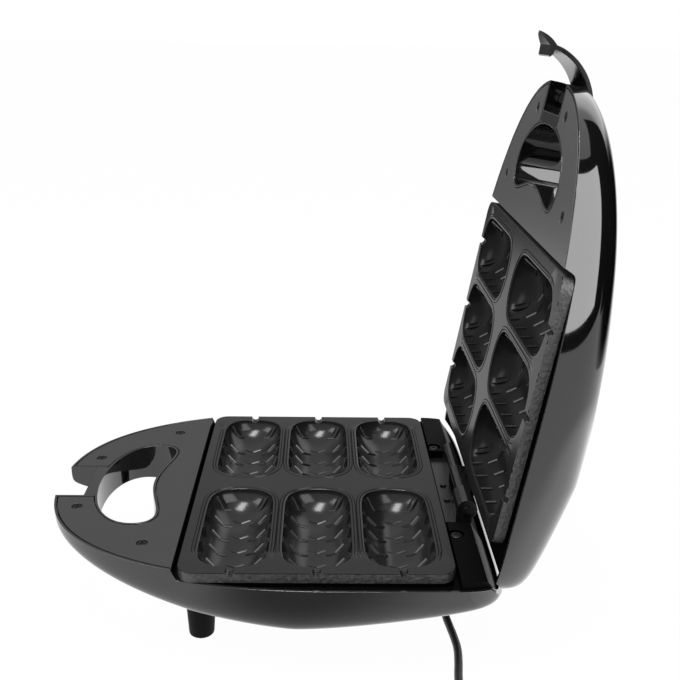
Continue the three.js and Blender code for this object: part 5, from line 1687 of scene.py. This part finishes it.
@dataclass(frozen=True)
class Card:
    """A studio card that only reflections see.

    Attributes:
        name: Its name.
        location: Its middle.
        size: Its width and height in metres.
        glow: The light that it gives off, none for a black card.
        flat: Whether it lies on the ground instead of facing the object.
        soft: Whether it fades out towards its edges.
    """

    name: str
    location: Point
    size: tuple[float, float]
    glow: float = 0.0
    flat: bool = False
    soft: bool = True

    def build(self) -> None:
        """Makes the card and hides it from the camera, diffuse light, shadows and transmission, so that only
        reflections see it.
        """
        mesh = bmesh.new()
        bmesh.ops.create_grid(mesh, x_segments=1, y_segments=1, size=0.5)
        across = mesh.loops.layers.uv.new("card")
        for face in mesh.faces:
            for loop in face.loops:
                loop[across].uv = (2.0 * loop.vert.co.x, 2.0 * loop.vert.co.y)
        bmesh.ops.scale(mesh, verts=mesh.verts[:], vec=(self.size[0], self.size[1], 1.0))
        if not self.flat:
            turn = (CARD_AIM - Vector(self.location)).to_track_quat("Z", "Y").to_matrix()
            bmesh.ops.rotate(mesh, verts=mesh.verts[:], matrix=turn)
        bmesh.ops.translate(mesh, verts=mesh.verts[:], vec=self.location)
        data = bpy.data.meshes.new(self.name)
        mesh.to_mesh(data)
        mesh.free()
        card = linked(data)
        data.materials.append(self._material())
        card.visible_camera = card.visible_diffuse = False
        card.visible_shadow = card.visible_transmission = False

    def _material(self) -> bpy.types.Material:
        """Makes the card's glow, which fades out where the card is soft.

        Returns:
            The node material.
        """
        material = new_material(self.name)
        tree = material.node_tree
        shader = add_node(tree, "Emission", {"Strength": self.glow})["Emission"]
        if self.soft:
            place = add_node(tree, "UVMap", uv_map="card")["UV"]
            fall = add_node(tree, "TexGradient", {"Vector": place}, gradient_type="SPHERICAL")["Fac"]
            rise = {"Value": fall, "From Max": CARD_FADE}
            share = add_node(tree, "MapRange", rise, interpolation_type="SMOOTHSTEP")["Result"]
            clear = add_node(tree, "BsdfTransparent")["BSDF"]
            shader = add_node(tree, "MixShader", {"Fac": share, 1: clear, 2: shader})["Shader"]
        feed(tree, tree.nodes["Material Output"], {"Surface": shader})
        return material


def seen(tree: bpy.types.NodeTree) -> bpy.types.NodeSocket:
    """Returns whether a ray comes from the camera, a reflection or something clear."""
    path = add_node(tree, "LightPath")
    rays = {0: path["Is Camera Ray"], 1: path["Is Glossy Ray"]}
    either = add_node(tree, "Math", rays, operation="MAXIMUM")[0]
    return add_node(tree, "Math", {0: either, 1: path["Is Transmission Ray"]}, operation="MAXIMUM")[0]


def ground_material() -> bpy.types.Material:
    """The pale ground, which a camera or a reflection sees white apart from the object's shadow.

    Returns:
        The node material.
    """
    material = Finish("pale_ground", grey(0.86), grey(0.88), (0.8, 0.9), grain=0.4, relief=0.0).build()
    tree = material.node_tree
    share = add_node(tree, "Math", {0: seen(tree), 1: GROUND_WHITE}, operation="MULTIPLY")[0]
    glow = add_node(tree, "Emission", {"Strength": 1.0})["Emission"]
    pale = tree.nodes["Principled BSDF"].outputs["BSDF"]
    mixed = add_node(tree, "MixShader", {"Fac": share, 1: pale, 2: glow})["Shader"]
    feed(tree, tree.nodes["Material Output"], {"Surface": mixed})
    return material


def studio() -> None:
    """Makes the pale ground, the white surroundings and the lights."""
    scene = bpy.context.scene
    scene.view_settings.view_transform = "Standard"
    world = bpy.data.worlds.new("studio")
    scene.world = world
    world.use_nodes = True
    tree = world.node_tree
    tree.nodes.clear()
    soft, white = (
        add_node(tree, "Background", {"Color": (1.0, 1.0, 1.0, 1.0), "Strength": strength})[0]
        for strength in (SKY, 1.0)
    )
    mixed = add_node(tree, "MixShader", {"Fac": seen(tree), 1: soft, 2: white})[0]
    add_node(tree, "OutputWorld", {"Surface": mixed})

    mesh = bmesh.new()
    bmesh.ops.create_grid(mesh, x_segments=2, y_segments=2, size=20.0)
    ground = temporary(mesh)
    ground.name = "ground"
    ground.data.materials.append(ground_material())
    for item in (*LIGHTS, *CARDS):
        item.build()


# Tables of places and looks

NODE_LOOKS = {
    "hinge": Look.HINGE,
    "heater_clamp": Look.STEEL,
    "clamp_screw": Look.DARK_STEEL,
    "heater": Look.HEATER,
    "thermostat": Look.STEEL,
    "thermal_fuse": Look.STEEL,
    "terminal": Look.CERAMIC,
    "latch_pin": Look.STEEL,
    "screw": Look.DARK_STEEL,
}
FEET = (
    Foot("front_foot_near", (-68.0, -67.0)),
    Foot("front_foot_far", (-68.0, 67.0)),
    Foot("rear_foot_near", (90.0, -34.0)),
    Foot("rear_foot_far", (90.0, 34.0)),
)
LENSES = (
    Lens("power_lens", -LENS_Y, Look.RED, "red_lens"),
    Lens("ready_lens", LENS_Y, Look.GREEN, "green_lens"),
)
LIGHTS = (
    SoftLight("key", (-1.1, -0.5, 1.0), (0.7, 0.7), 9.0),
    SoftLight("fill", (1.2, -1.0, 0.9), (1.2, 1.2), 4.0, mirrored=False),
    SoftLight("top", (-0.1, -0.3, 1.25), (0.3, 0.75), 16.0),
)
CARDS = (
    Card("softbox_front", (0.92, -1.1, 0.88), (1.3, 1.55), 5.0, soft=False),
    Card("dark_surround", (1.16, -1.04, 0.9), (2.5, 2.2), soft=False),
    Card("dark_gap", (1.25, 0.08, 0.75), (0.8, 1.9), soft=False),
    Card("softbox_back", (1.1, 1.2, 1.25), (1.8, 1.6), 2.0),
    Card("dark_side", (0.6, 0.14, 0.22), (0.75, 0.62)),
    Card("grey_back", (-0.35, 1.6, 0.5), (1.7, 1.7), 0.5, soft=False),
    Card("dark_back", (-0.3, 1.5, 0.16), (1.7, 0.5), 0.12, soft=False),
    Card("grey_table", (-0.02, -0.36, 0.003), (0.26, 0.62), 0.25, flat=True),
    Card("bright_table", (0.28, -0.06, 0.003), (0.5, 0.6), 1.7, flat=True),
)


def build_half(half: HalfForm) -> None:
    """Makes one half with everything fixed to it."""
    for kind in (Housing, HandleCover, InnerFrame, CookingPlate):
        kind(half).build()
    name, place = half.place.value, half.place
    for number, at in enumerate(COVER_SCREWS, 1):
        Screw(f"{name}_cover_screw_{number}", at, PARTING - COUNTERBORE, COVER_HEAD, COVER_SHANK).build(place)
    for number, at in enumerate(DECK_SCREWS, 1):
        Screw(f"{name}_frame_screw_{number}", at, half.screw_seat, DECK_HEAD, DECK_SHANK).build(place)


def main() -> None:
    """Builds the whole scene over the frame."""
    logging.basicConfig(level=logging.INFO)
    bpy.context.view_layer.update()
    Viewpoint().build()
    dress_nodes()
    CordSet().build()
    build_half(BASE)
    build_half(LID)
    Latch().build()
    for small in (*FEET, *LENSES):
        small.build()
    studio()


if __name__ == "__main__":
    main()
